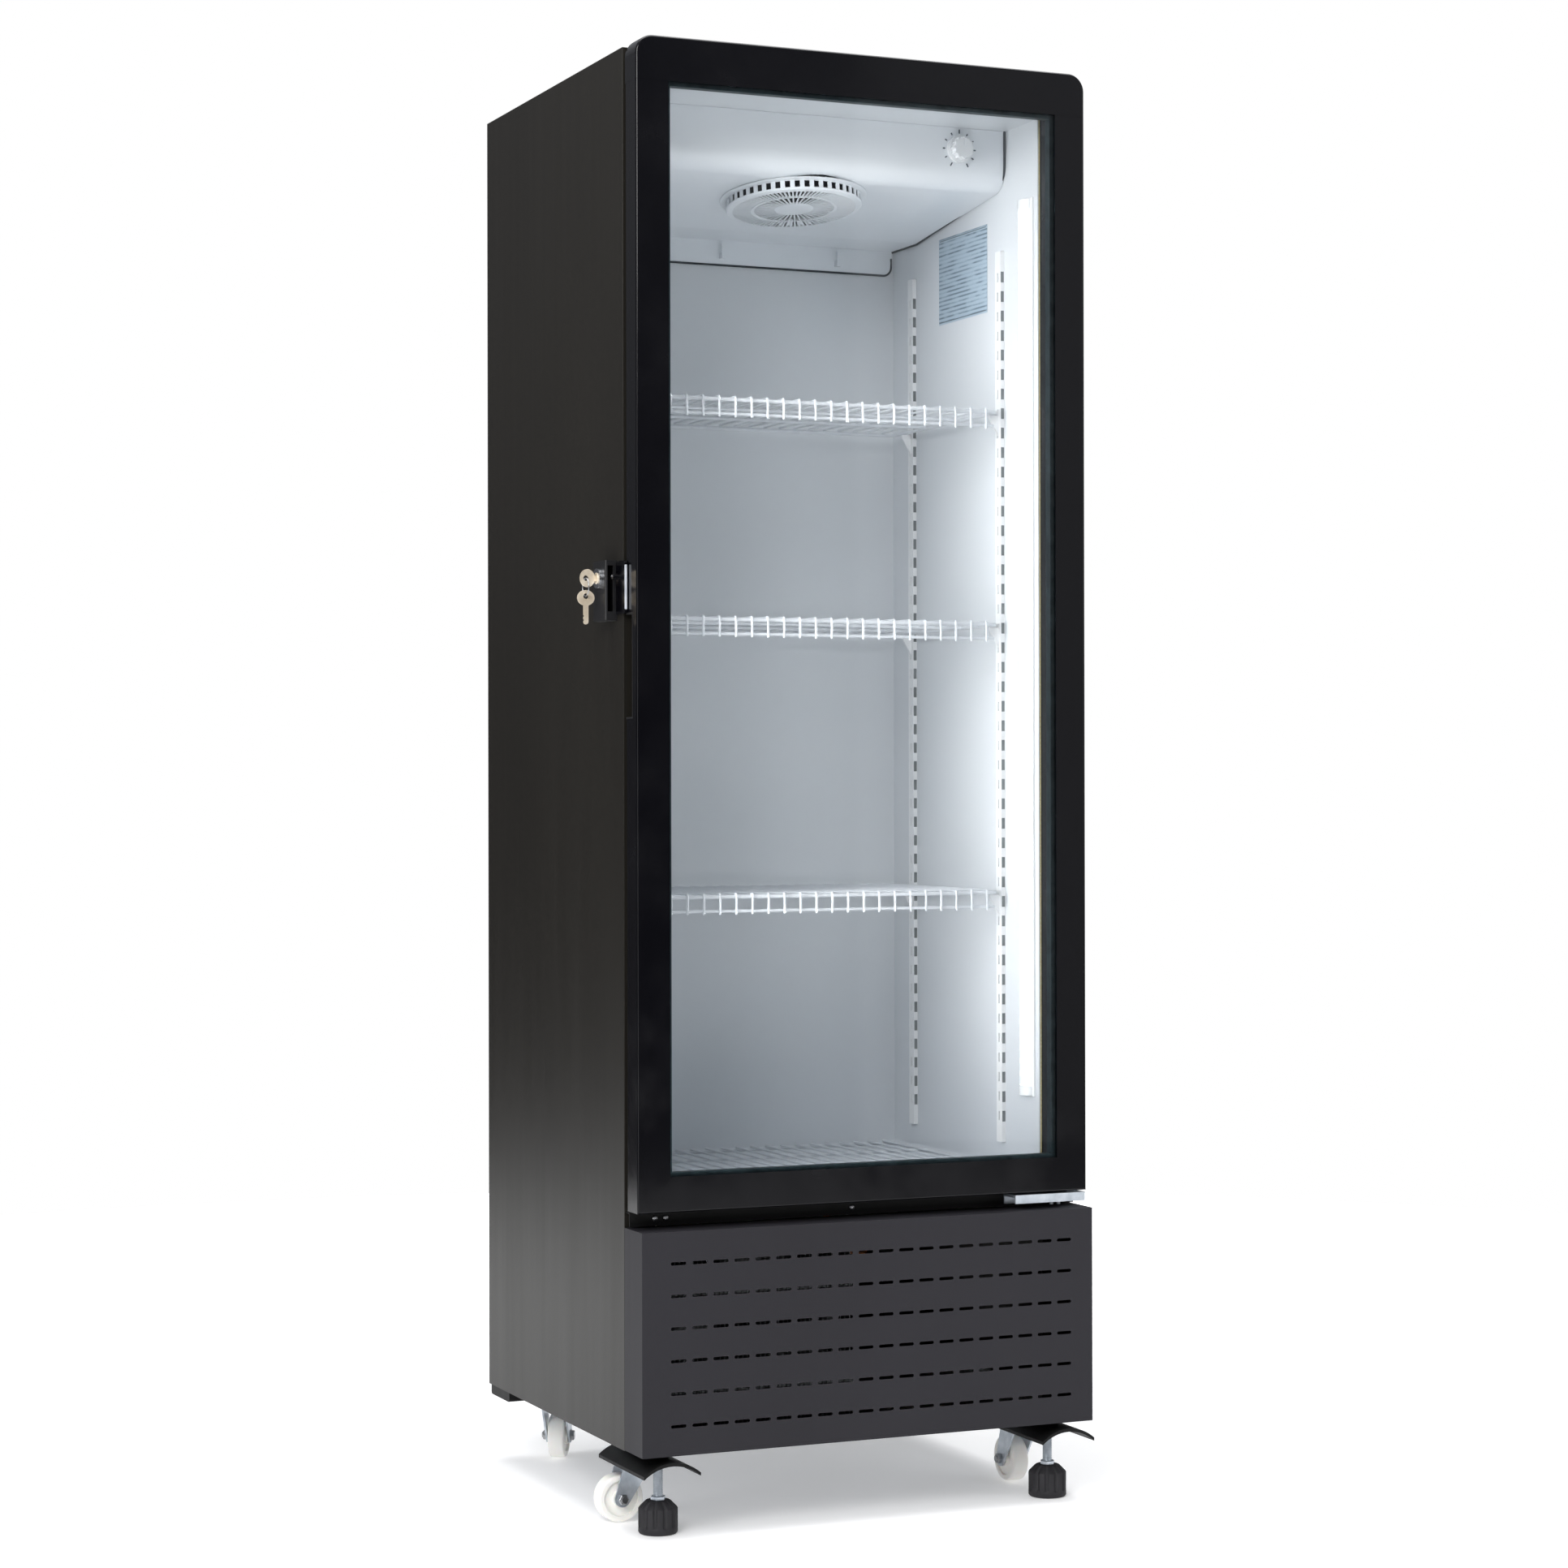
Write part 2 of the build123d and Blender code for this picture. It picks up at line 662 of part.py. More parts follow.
# ---- cabin fittings -----------------------------------------------------------------------
def shelf_standards():
    """Four slotted uprights on the side walls."""
    with BuildPart() as uprights:
        for side in (-1, 1):
            for y in STANDARD_YS:
                block(
                    (side * STANDARD_INNER, y - STANDARD_HALF, STANDARD_BOTTOM),
                    (side * (LINER_HALF - GAP), y + STANDARD_HALF, STANDARD_TOP),
                )
        middle = (STANDARD_BOTTOM + STANDARD_TOP) / 2
        for side in (-1, 1):
            with BuildSketch(Plane.YZ.offset(side * (STANDARD_INNER - 1))):
                for y in STANDARD_YS:
                    with Locations((y, middle)):
                        with GridLocations(0, SLOT_PITCH, 1, STANDARD_SLOTS):
                            Rectangle(3.4, 12)
            extrude(amount=side * 4.5, mode=Mode.SUBTRACT)
    return uprights.part


def shelf_clips():
    """Twelve hooked brackets, four under each shelf."""
    with BuildPart() as clips:
        for top in SHELF_TOPS.values():
            seat = top - FRAME_WIRE - CLEAR
            for side in (-1, 1):
                for y in STANDARD_YS:
                    with BuildSketch(Plane.XZ.offset(-(y + CLIP_THICK / 2))):
                        with BuildLine():
                            Polyline(
                                (side * (STANDARD_INNER - 0.1), seat),
                                (side * CLIP_REACH, seat),
                                (side * CLIP_REACH, seat - 4),
                                (side * (STANDARD_INNER - 0.1), seat - 26),
                                close=True,
                            )
                        make_face()
                    extrude(amount=CLIP_THICK)
    return clips.part


def led_strips():
    """Two light strips on the side walls by the door: flat carriers with half-round covers."""
    with BuildPart() as strips:
        for side in (-1, 1):
            block(
                (side * LED_FACE, LED_FRONT, LED_BOTTOM),
                (side * (LINER_HALF - GAP), LED_REAR, LED_TOP),
            )
            middle = (LED_FRONT + LED_REAR) / 2
            with BuildSketch(Plane.XY.offset(LED_BOTTOM + 2)):
                with Locations((side * (LED_FACE - GAP), middle)):
                    Ellipse(8, 14)
                with Locations((side * (LED_FACE - GAP + 10), middle)):
                    Rectangle(20, 30, mode=Mode.SUBTRACT)
            extrude(amount=LED_TOP - LED_BOTTOM - 4)
    return strips.part


def shelf_wires(lip):
    """Welded wire grid round z = 0: a frame, cross wires under the deck wires, perhaps a front lip."""
    deck = FRAME_WIRE + DECK_WIRE - WELD
    lip_y = SHELF_FRONT - FRAME_WIRE - DECK_WIRE + WELD
    cross_height = deck - DECK_WIRE - CROSS_WIRE + WELD
    count = int(2 * SHELF_HALF / SHELF_PITCH)
    first = -SHELF_PITCH * (count - 1) / 2
    with BuildPart() as wires:
        with BuildLine() as loop:
            FilletPolyline(
                (-SHELF_HALF, SHELF_FRONT, 0),
                (SHELF_HALF, SHELF_FRONT, 0),
                (SHELF_HALF, SHELF_REAR, 0),
                (-SHELF_HALF, SHELF_REAR, 0),
                radius=SHELF_CORNER,
                close=True,
            )
        with BuildSketch(Plane(origin=loop.line @ 0, z_dir=loop.line % 0)):
            Circle(FRAME_WIRE)
        sweep(path=loop.line)
        for y in CROSS_YS:
            rod((-SHELF_HALF, y, cross_height), (1, 0, 0), CROSS_WIRE, 2 * SHELF_HALF)
        if lip:
            start = (-SHELF_HALF + 6, lip_y + DECK_WIRE + CROSS_WIRE - WELD, -SHELF_LIP)
            rod(start, (1, 0, 0), CROSS_WIRE, 2 * SHELF_HALF - 12)
        for number in range(count):
            x = first + SHELF_PITCH * number
            back = (x, SHELF_REAR, deck)
            if lip:
                tube([back, (x, lip_y, deck), (x, lip_y, -SHELF_LIP - 4)], [2.4], DECK_WIRE)
            else:
                rod(back, (0, -1, 0), DECK_WIRE, SHELF_REAR - SHELF_FRONT)
    return wires.part


# ---- door ---------------------------------------------------------------------------------
def mitre(side):
    """Plane through a lower corner, from the outer corner to the inner one."""
    outer = Vector(side * DOOR_HALF, 0, DOOR_BOTTOM)
    inner = Vector(side * (DOOR_HALF - RAIL_SIDE), 0, DOOR_BOTTOM + RAIL_BOTTOM)
    along = inner - outer
    return Plane(origin=outer, x_dir=(0, 1, 0), z_dir=along.cross(Vector(0, side, 0)))


def door_side_rail(side):
    """Upright rail: glass groove, mitred foot, and on the free side the recess of the grip."""
    edge = side * DOOR_HALF
    inner = side * (DOOR_HALF - RAIL_SIDE)
    with BuildPart() as rail:
        block((edge, DOOR_FRONT, DOOR_BOTTOM), (inner, DOOR_REAR, SEAM - GAP))
        groove = side * (DOOR_HALF - RAIL_SIDE + GROOVE)
        block(
            (inner, PANE_FRONT, DOOR_BOTTOM),
            (groove, PANE_REAR, SEAM),
            mode=Mode.SUBTRACT,
        )
        outer = rail.edges().filter_by(Axis.Z).group_by(Axis.X)[0 if side < 0 else -1]
        fillet(outer, 3)
        split(bisect_by=mitre(side), keep=Keep.BOTTOM)
        if side < 0:
            block(
                (edge - 1, HANDLE_FRONT - GAP, HANDLE_BOTTOM - GAP),
                (edge + HANDLE_DEEP + GAP, 0, HANDLE_TOP + GAP),
                mode=Mode.SUBTRACT,
            )
        else:
            bore = HINGE_PIN + RUNNING
            rod((HINGE_X, HINGE_Y, DOOR_BOTTOM - 1), (0, 0, 1), bore, 20, mode=Mode.SUBTRACT)
    return rail.part


def door_rail_bottom():
    """Bottom rail, mitred into both uprights, with the lower hinge bore."""
    high = DOOR_BOTTOM + RAIL_BOTTOM
    with BuildPart() as rail:
        block((-DOOR_HALF, DOOR_FRONT, DOOR_BOTTOM), (DOOR_HALF, DOOR_REAR, high))
        block(
            (-DOOR_HALF, PANE_FRONT, high - GROOVE),
            (DOOR_HALF, PANE_REAR, high),
            mode=Mode.SUBTRACT,
        )
        fillet(rail.edges().filter_by(Axis.X).group_by(Axis.Z)[0], 2)
        for side in (-1, 1):
            split(bisect_by=mitre(side).offset(0.1), keep=Keep.TOP)
        bore = HINGE_PIN + RUNNING
        rod((HINGE_X, HINGE_Y, DOOR_BOTTOM - 1), (0, 0, 1), bore, 20, mode=Mode.SUBTRACT)
    return rail.part


def door_rail_top():
    """Top cap across the whole door, with rounded corners and a pocket for the top hinge."""
    with BuildPart() as rail:
        block((-DOOR_HALF, DOOR_FRONT, SEAM), (DOOR_HALF, DOOR_REAR, DOOR_TOP))
        corners = rail.edges().filter_by(Axis.Y).group_by(Axis.Z)[-1]
        fillet(corners, DOOR_CORNER)
        front = rail.faces().sort_by(Axis.Y)[0]
        fillet(front.edges().filter_by(lambda e: e.center().Z > SEAM + 1), 3)
        inner = DOOR_HALF - RAIL_SIDE + GROOVE
        block((-inner, PANE_FRONT, SEAM), (inner, PANE_REAR, SEAM + GROOVE), mode=Mode.SUBTRACT)
        block((268, -36, CABINET_TOP - 0.6), (310, 0, DOOR_TOP + 1), mode=Mode.SUBTRACT)
        bore = HINGE_PIN + RUNNING
        rod((HINGE_X, HINGE_Y, CABINET_TOP - 24), (0, 0, 1), bore, 30, mode=Mode.SUBTRACT)
    return rail.part


def door_glass():
    """Two sheets of toughened glass, held in the rail grooves."""
    half = DOOR_HALF - RAIL_SIDE + GROOVE - 1
    low = DOOR_BOTTOM + RAIL_BOTTOM - GROOVE + 1
    high = SEAM + GROOVE - 1
    with BuildPart() as sheets:
        for front in (PANE_FRONT, PANE_REAR - PANE):
            block((-half, front, low), (half, front + PANE, high))
        fillet(sheets.edges().filter_by(Axis.Y), 3)
    return sheets.part


def glass_spacer():
    """Dark bar round the edge between the two panes."""
    half = DOOR_HALF - RAIL_SIDE + GROOVE - 1.5
    low = DOOR_BOTTOM + RAIL_BOTTOM - GROOVE + 1.5
    high = SEAM + GROOVE - 1.5
    front = PANE_FRONT + PANE + GAP
    rear = PANE_REAR - PANE - GAP
    bar = SPACER_BAR
    with BuildPart() as spacer:
        block((-half, front, low), (half, rear, high))
        block((-half + bar, front, low + bar), (half - bar, rear, high - bar), mode=Mode.SUBTRACT)
    return spacer.part


def door_gasket():
    """Magnetic seal on the back of the door: a base strip and a softer bulb."""
    low = GASKET_LOW
    high = GASKET_HIGH
    bulb = -5.0
    with BuildPart() as gasket:
        for front, rear, inset in ((DOOR_REAR, bulb, 3), (bulb, -CLEAR, 0)):
            half = GASKET_HALF - inset
            block((-half, front, low + inset), (half, rear, high - inset))
            inside = GASKET_WIDE - inset
            block(
                (-GASKET_HALF + inside, front, low + inside),
                (GASKET_HALF - inside, rear, high - inside),
                mode=Mode.SUBTRACT,
            )
    return gasket.part


def door_handle():
    """Recessed finger grip in the free edge of the door, open to the side and the rear."""
    edge = -DOOR_HALF
    wall = HANDLE_WALL
    with BuildPart() as grip:
        block(
            (edge, HANDLE_FRONT, HANDLE_BOTTOM),
            (edge + HANDLE_DEEP, DOOR_REAR, HANDLE_TOP),
        )
        block(
            (edge - 1, HANDLE_FRONT + wall, HANDLE_BOTTOM + wall),
            (edge + HANDLE_DEEP - wall, 0, HANDLE_TOP - wall),
            mode=Mode.SUBTRACT,
        )
    return grip.part


# ---- hinges -------------------------------------------------------------------------------
def hinge_brackets():
    """Lower plate with a folded front lip, and roof plate, each with its hinge pin."""
    with BuildPart() as bracket:
        high = RAIL_HIGH - CLEAR
        rear = RAIL_FRONT - GAP
        block((HINGE_LEFT, -46, high - HINGE_PLATE), (HINGE_RIGHT, rear, high))
        block((HINGE_LEFT, -46, 378), (HINGE_RIGHT, -43.5, high))
        block((HINGE_LEFT, RAIL_FRONT - 3, 375), (HINGE_RIGHT, rear, high))
        fillet(bracket.edges().filter_by(Axis.Z).group_by(Axis.Y)[0], 1)
        rod((HINGE_X, HINGE_Y, 388), (0, 0, 1), HINGE_PIN, 19)
        rod((HINGE_X, HINGE_Y, 388), (0, 0, 1), 9, 2.4)
        for x in (262, 272):
            rod((x, -30, 373), (0, 0, 1), 2.5, 13)
        with BuildSketch(Plane.XY.offset(CABINET_TOP + GAP)):
            with Locations((257, 34)):
                RectangleRounded(86, 52, 5)
            with Locations((HINGE_X, HINGE_Y)):
                Circle(8)
            with Locations((HINGE_X, HINGE_Y + 17)):
                Rectangle(16, 34)
        extrude(amount=3)
        rod((HINGE_X, HINGE_Y, CABINET_TOP - 20), (0, 0, 1), HINGE_PIN, 21)
        for x in (235, 262):
            rod((x, 34, CABINET_TOP + 3), (0, 0, 1), 6, 3)
    return bracket.part


# ---- lock ---------------------------------------------------------------------------------
def lock_housing():
    """Case screwed to the cabinet's side, hollow, with a slot for the cam at the front."""
    back = -HALF - GAP
    slot_low = LOCK_Z - CAM_REACH - CAM_TIP
    with BuildPart() as case:
        block((LOCK_FACE, LOCK_FRONT, LOCK_LOW), (back, LOCK_REAR, LOCK_HIGH))
        fillet(case.edges().filter_by(Axis.Z).group_by(Axis.X)[0], 2.5)
        block(
            (LOCK_FACE + LOCK_WALL, LOCK_FRONT + 2, LOCK_LOW + LOCK_WALL),
            (back - 1.5, LOCK_REAR - LOCK_WALL, LOCK_HIGH - LOCK_WALL),
            mode=Mode.SUBTRACT,
        )
        block(
            (CAM_LEFT - 2, LOCK_FRONT - 2, slot_low),
            (CAM_LEFT + CAM_THICK + 2, LOCK_FRONT + 3, LOCK_HIGH - 6),
            mode=Mode.SUBTRACT,
        )
        rod((LOCK_FACE - 1, LOCK_Y, LOCK_Z), (1, 0, 0), LOCK_BARREL, 5, mode=Mode.SUBTRACT)
    return case.part


def lock_barrel():
    """Fixed bright sleeve round the lock core."""
    with BuildPart() as barrel:
        ring((LOCK_FACE - 4, LOCK_Y, LOCK_Z), (1, 0, 0), LOCK_BARREL, LOCK_CORE + RUNNING, 7)
        ring((LOCK_FACE - 4, LOCK_Y, LOCK_Z), (1, 0, 0), 12, LOCK_CORE + RUNNING, 3.8)
    return barrel.part


def lock_core():
    """Turning core with a hook cam on its inner end. The cam hangs down when unlocked."""
    start = LOCK_FACE - 4.5
    tip = CAM_REACH + CAM_TIP
    with BuildPart() as core:
        rod((start, LOCK_Y, LOCK_Z), (1, 0, 0), LOCK_CORE, CAM_LEFT + 1 - start)
        block(
            (start - 0.1, LOCK_Y - 1.3, LOCK_Z - 4),
            (start + 3, LOCK_Y + 1.3, LOCK_Z + 4),
            mode=Mode.SUBTRACT,
        )
        with BuildSketch(Plane.YZ.offset(CAM_LEFT)):
            with Locations((LOCK_Y, LOCK_Z)):
                Circle(LOCK_CORE)
                with Locations((2, -tip / 2)):
                    Rectangle(16, tip)
        extrude(amount=CAM_THICK)
        with BuildSketch(Plane.YZ.offset(CAM_LEFT - 1)):
            with Locations((LOCK_Y, LOCK_Z)):
                Circle(CAM_REACH + CAM_HOOK)
                Circle(CAM_REACH - CAM_HOOK, mode=Mode.SUBTRACT)
                with Locations((CAM_REACH + CAM_HOOK, 0)):
                    Rectangle(2 * CAM_REACH, 4 * CAM_REACH, mode=Mode.SUBTRACT)
        extrude(amount=CAM_THICK + 2, mode=Mode.SUBTRACT)
    return core.part


def key_shape():
    """Flat key in its own frame: bow centred on its ring hole, blade towards +X."""
    with BuildSketch() as key:
        with Locations((2, 0)):
            Ellipse(9.5, 11)
        with Locations((20, 0)):
            Rectangle(22, 6.4)
        with Locations((31, 0)):
            Circle(3.2)
        with Locations((24, -3.2), (29, -3.2)):
            Circle(1.1, mode=Mode.SUBTRACT)
        Circle(3.4, mode=Mode.SUBTRACT)
    return key.sketch


def lock_key():
    """Key in the lock, in the upright slot."""
    plane = Plane(origin=(KEY_HOLE_X, LOCK_Y + 1, LOCK_Z), x_dir=(1, 0, 0), z_dir=(0, -1, 0))
    stop = LOCK_FACE - 4.5 + 2.8
    with BuildPart() as key:
        with BuildSketch(plane):
            add(key_shape())
        extrude(amount=KEY_THICK)
        block((stop, LOCK_Y - 5, LOCK_Z - 10), (stop + 30, LOCK_Y + 5, LOCK_Z + 10), mode=Mode.SUBTRACT)
    return key.part


def key_ring():
    """Wire ring that hangs through the key's bow."""
    with BuildPart() as ring_part:
        with BuildSketch(Plane(origin=(KEY_HOLE_X, LOCK_Y, LOCK_Z), z_dir=(0, 1, 0))):
            Circle(KEY_WIRE)
        axis = Axis((KEY_HOLE_X, LOCK_Y, LOCK_Z - KEY_RING), (1, 0, 0))
        revolve(axis=axis)
    return ring_part.part


def spare_key():
    """Second key, hanging from the bottom of the ring."""
    origin = (KEY_HOLE_X, LOCK_Y + 1, LOCK_Z - 2 * KEY_RING)
    with BuildPart() as key:
        with BuildSketch(Plane(origin=origin, x_dir=(0, 0, -1), z_dir=(0, -1, 0))):
            add(key_shape())
        extrude(amount=KEY_THICK)
    return key.part


def lock_keeper():
    """Plate on the door's free edge, with the post that the hook cam catches."""
    inner = -HALF - 0.5
    with BuildPart() as keeper:
        block((inner - KEEPER_THICK, KEEPER_FRONT, KEEPER_LOW), (inner, KEEPER_REAR, KEEPER_HIGH))
        fillet(keeper.edges().filter_by(Axis.X), 4)
        block(
            (inner, KEEPER_FRONT, KEEPER_LOW + 4),
            (-DOOR_HALF - GAP, DOOR_REAR - 1, KEEPER_HIGH - 4),
        )
        rod((inner - 2, LOCK_Y - CAM_REACH, LOCK_Z), (-1, 0, 0), 3, 9)
    return keeper.part


# ---- feet and casters ---------------------------------------------------------------------
def front_brackets():
    """Two arched plates under the front corners that carry a foot and a caster each."""
    middle = FOOT_X + 2.0
    reach = BRACKET_REACH
    low = BRACKET_TIP - BRACKET_THICK
    with BuildPart() as brackets:
        for side in (-1, 1):
            with BuildSketch(Plane.XZ.offset(64)):
                with BuildLine():
                    left = side * middle - reach
                    right = side * middle + reach
                    crown = (side * middle, BRACKET_TOP)
                    under = (side * middle, BRACKET_TOP - BRACKET_THICK)
                    ThreePointArc((left, BRACKET_TIP), crown, (right, BRACKET_TIP))
                    Line((right, BRACKET_TIP), (right, low))
                    ThreePointArc((right, low), under, (left, low))
                    Line((left, low), (left, BRACKET_TIP))
                make_face()
            extrude(amount=-156)
        for side in (-1, 1):
            for y, radius in ((FOOT_Y, 14), (FRONT_CASTER_Y, 18)):
                rod((side * FOOT_X, y, 85), (0, 0, 1), radius, CABINET_BOTTOM - 85)
            rod((side * FOOT_X, FOOT_Y, 60), (0, 0, 1), FOOT_STEM + RUNNING, 60, mode=Mode.SUBTRACT)
            bore = CASTER_PIN + RUNNING
            rod((side * FOOT_X, FRONT_CASTER_Y, 60), (0, 0, 1), bore, 60, mode=Mode.SUBTRACT)
    return brackets.part


def rear_supports():
    """Two caster plates with a raised boss, and two runners under the rear corners."""
    with BuildPart() as plates:
        for side in (-1, 1):
            x, y = side * REAR_CASTER[0], REAR_CASTER[1]
            block((x - 32, y - 32, 96.5), (x + 32, y + 32, CABINET_BOTTOM))
            rod((x, y, 84), (0, 0, 1), 18, 14)
            rod((x, y, 60), (0, 0, 1), CASTER_PIN + RUNNING, 60, mode=Mode.SUBTRACT)
            with BuildSketch(Plane.YZ.offset(side * RUNNER_X - 15)):
                with Locations((476, 93)):
                    RectangleRounded(74, 14, 4)
            extrude(amount=30)
    return plates.part


def levelling_foot(side):
    """Threaded stem on a ribbed round pad."""
    x = side * FOOT_X
    with BuildPart() as foot:
        rod((x, FOOT_Y, 0), (0, 0, 1), FOOT_PAD, FOOT_HEIGHT)
        chamfer(foot.faces().sort_by(Axis.Z)[-1].edges(), 9)
        fillet(foot.faces().sort_by(Axis.Z)[0].edges(), 3)
        with BuildSketch(Plane.XY.offset(8)):
            with Locations((x, FOOT_Y)):
                with PolarLocations(26.4, 12):
                    Circle(4.2)
        extrude(amount=FOOT_HEIGHT, mode=Mode.SUBTRACT)
        rod((x, FOOT_Y, FOOT_HEIGHT - 2), (0, 0, 1), FOOT_STEM, 74)
    return foot.part


def caster_fork(x, y, axle, trail):
    """Pressed fork: swivel head with its pin, two legs and the axle."""
    plane = Plane(origin=(x, y, axle), x_dir=(*trail, 0), z_dir=(trail[1], -trail[0], 0))
    head = axle + CASTER_HEAD
    with BuildPart() as fork:
        rod((x, y, head - 4), (0, 0, 1), 18, 4)
        rod((x, y, head - 1), (0, 0, 1), CASTER_PIN, 13)
        with BuildSketch(plane.offset(-FORK_OUTER)):
            with Locations((CASTER_TRAIL, 0)):
                Circle(10)
            with Locations((0, CASTER_HEAD - 8)):
                Rectangle(34, 10)
            make_hull()
        extrude(amount=2 * FORK_OUTER)
        with BuildSketch(plane.offset(-FORK_INNER)):
            with Locations((CASTER_TRAIL / 2, CASTER_HEAD - 7 - 50)):
                Rectangle(120, 100)
        extrude(amount=2 * FORK_INNER, mode=Mode.SUBTRACT)
        with BuildSketch(plane.offset(-19)):
            with Locations((CASTER_TRAIL, 0)):
                Circle(CASTER_AXLE)
        extrude(amount=38)
    return fork.part


def caster_wheel(x, y, axle, trail):
    """Solid nylon wheel with a recessed web and a plain bore."""
    centre = (x + CASTER_TRAIL * trail[0], y + CASTER_TRAIL * trail[1], axle)
    plane = Plane(origin=centre, x_dir=(*trail, 0), z_dir=(trail[1], -trail[0], 0))
    with BuildPart() as wheel:
        with BuildSketch(plane.offset(-11)):
            Circle(CASTER_WHEEL)
        extrude(amount=22)
        fillet(wheel.edges(), 3)
        for low in (-12, 8):
            with BuildSketch(plane.offset(low)):
                Circle(22)
                Circle(11, mode=Mode.SUBTRACT)
            extrude(amount=4, mode=Mode.SUBTRACT)
        with BuildSketch(plane.offset(-13)):
            Circle(11)
        extrude(amount=26)
        with BuildSketch(plane.offset(-15)):
            Circle(CASTER_AXLE + RUNNING)
        extrude(amount=30, mode=Mode.SUBTRACT)
    return wheel.part


def cabinet_screws():
    """Round heads on the cross rail and the rear sheets."""
    with BuildPart() as screws:
        for x in (-270, -256, -8):
            rod((x, RAIL_FRONT - GAP, 381), (0, -1, 0), 3.6, SCREW_RISE)
        for x in (-280, 280):
            for z in (130, 360, 420, 1100, 1770):
                rod((x, REAR_FACE, z), (0, 1, 0), SCREW_HEAD, SCREW_RISE)
    return screws.part


# ---- assembly -----------------------------------------------------------------------------
def write_cabinet():
    save(side_panel(-1), "side_panel_left")
    save(side_panel(1), "side_panel_right")
    save(top_panel(), "top_panel")
    save(rear_panel(), "rear_panel")
    save(rear_grille(), "rear_grille")
    save(foam_insulation(), "foam_insulation")
    save(inner_liner(), "inner_liner")
    save(front_rail(), "front_rail")
    save(base_deck(), "base_deck")
    save(grille_panel(), "grille_panel")
    save(cabinet_screws(), "cabinet_screws")


def write_machine():
    save(compressor(), "compressor")
    save(compressor_mounts(), "compressor_mounts")
    save(condenser_coil(), "condenser_coil")
    save(condenser_fan_shroud(), "condenser_fan_shroud")
    centre = (CONDENSER_FAN_X, CONDENSER_FAN_Y, CONDENSER_FAN_Z)
    axis = Plane(origin=centre, x_dir=(1, 0, 0), z_dir=(0, -1, 0))
    save(fan_blade(axis, 96, 22, 20, FAN_SHAFT), "condenser_fan_blade")
    save(refrigerant_lines(), "refrigerant_lines")
    save(drain_pan(), "drain_pan")
    save(control_box(), "control_box")


def write_cooling_unit():
    save(evaporator_cover(), "evaporator_cover")
    save(evaporator_coil(), "evaporator_coil")
    save(evaporator_fan_motor(), "evaporator_fan_motor")
    save(fan_blade(FAN_PLANE.offset(-14), 78, 18, 16, FAN_SHAFT), "evaporator_fan_blade")
    save(fan_grille(), "fan_grille")
    save(thermostat_knob(), "thermostat_knob")


def write_cabin():
    save(shelf_standards(), "shelf_standards")
    save(shelf_clips(), "shelf_clips")
    save(led_strips(), "led_strips")
    shelf = shelf_wires(lip=True)
    for name, top in SHELF_TOPS.items():
        save(shelf.moved(Location((0, 0, top))), name)
    rack = shelf_wires(lip=False)
    save(rack.moved(Location((0, 0, LINER_FLOOR + FRAME_WIRE + CLEAR))), "floor_rack")


def write_door():
    save(door_side_rail(-1), "door_rail_left")
    save(door_side_rail(1), "door_rail_right")
    save(door_rail_bottom(), "door_rail_bottom")
    save(door_rail_top(), "door_rail_top")
    save(door_glass(), "door_glass")
    save(glass_spacer(), "glass_spacer")
    save(door_gasket(), "door_gasket")
    save(door_handle(), "door_handle")
    save(lock_keeper(), "lock_keeper")
    save(hinge_brackets(), "hinge_brackets")


def write_lock():
    save(lock_housing(), "lock_housing")
    save(lock_barrel(), "lock_barrel")
    save(lock_core(), "lock_core")
    save(lock_key(), "lock_key")
    save(key_ring(), "key_ring")
    save(spare_key(), "spare_key")


def write_supports():
    save(front_brackets(), "front_brackets")
    save(rear_supports(), "rear_supports")
    save(levelling_foot(-1), "foot_left")
    save(levelling_foot(1), "foot_right")
    for name, (x, y, axle, trail) in CASTERS.items():
        save(caster_fork(x, y, axle, trail), f"caster_fork_{name}")
        save(caster_wheel(x, y, axle, trail), f"caster_wheel_{name}")


write_cabinet()
write_machine()
write_cooling_unit()
write_cabin()
write_door()
write_lock()
write_supports()
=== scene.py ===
# Looks of an upright glass-door drinks cooler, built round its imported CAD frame.
# Lengths are metres in the row frame: X to the right, Y to the rear, Z up, floor at z = 0.
# Profiles and outlines are pairs in millimetres, turned into metres by MM.

import json
import math

import bmesh
import bpy
from mathutils import Matrix, Vector


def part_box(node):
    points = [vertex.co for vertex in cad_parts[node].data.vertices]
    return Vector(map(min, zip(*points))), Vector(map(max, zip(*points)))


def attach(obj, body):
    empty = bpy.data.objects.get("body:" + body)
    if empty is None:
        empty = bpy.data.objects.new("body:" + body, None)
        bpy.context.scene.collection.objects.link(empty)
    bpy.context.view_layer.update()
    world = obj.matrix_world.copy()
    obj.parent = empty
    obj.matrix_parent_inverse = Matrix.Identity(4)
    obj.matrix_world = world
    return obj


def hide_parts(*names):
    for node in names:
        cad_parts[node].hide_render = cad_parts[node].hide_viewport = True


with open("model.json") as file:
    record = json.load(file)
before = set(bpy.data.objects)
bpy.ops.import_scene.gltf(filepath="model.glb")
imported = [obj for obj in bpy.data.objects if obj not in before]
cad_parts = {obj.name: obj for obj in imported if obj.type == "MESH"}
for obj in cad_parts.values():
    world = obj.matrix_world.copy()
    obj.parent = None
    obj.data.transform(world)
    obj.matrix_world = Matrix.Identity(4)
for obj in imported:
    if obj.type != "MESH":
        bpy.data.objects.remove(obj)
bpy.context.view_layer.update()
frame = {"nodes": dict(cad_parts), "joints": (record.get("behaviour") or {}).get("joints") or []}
NODES = frame["nodes"]
JOINTS = {joint["name"]: joint for joint in frame["joints"]}

MM = 0.001


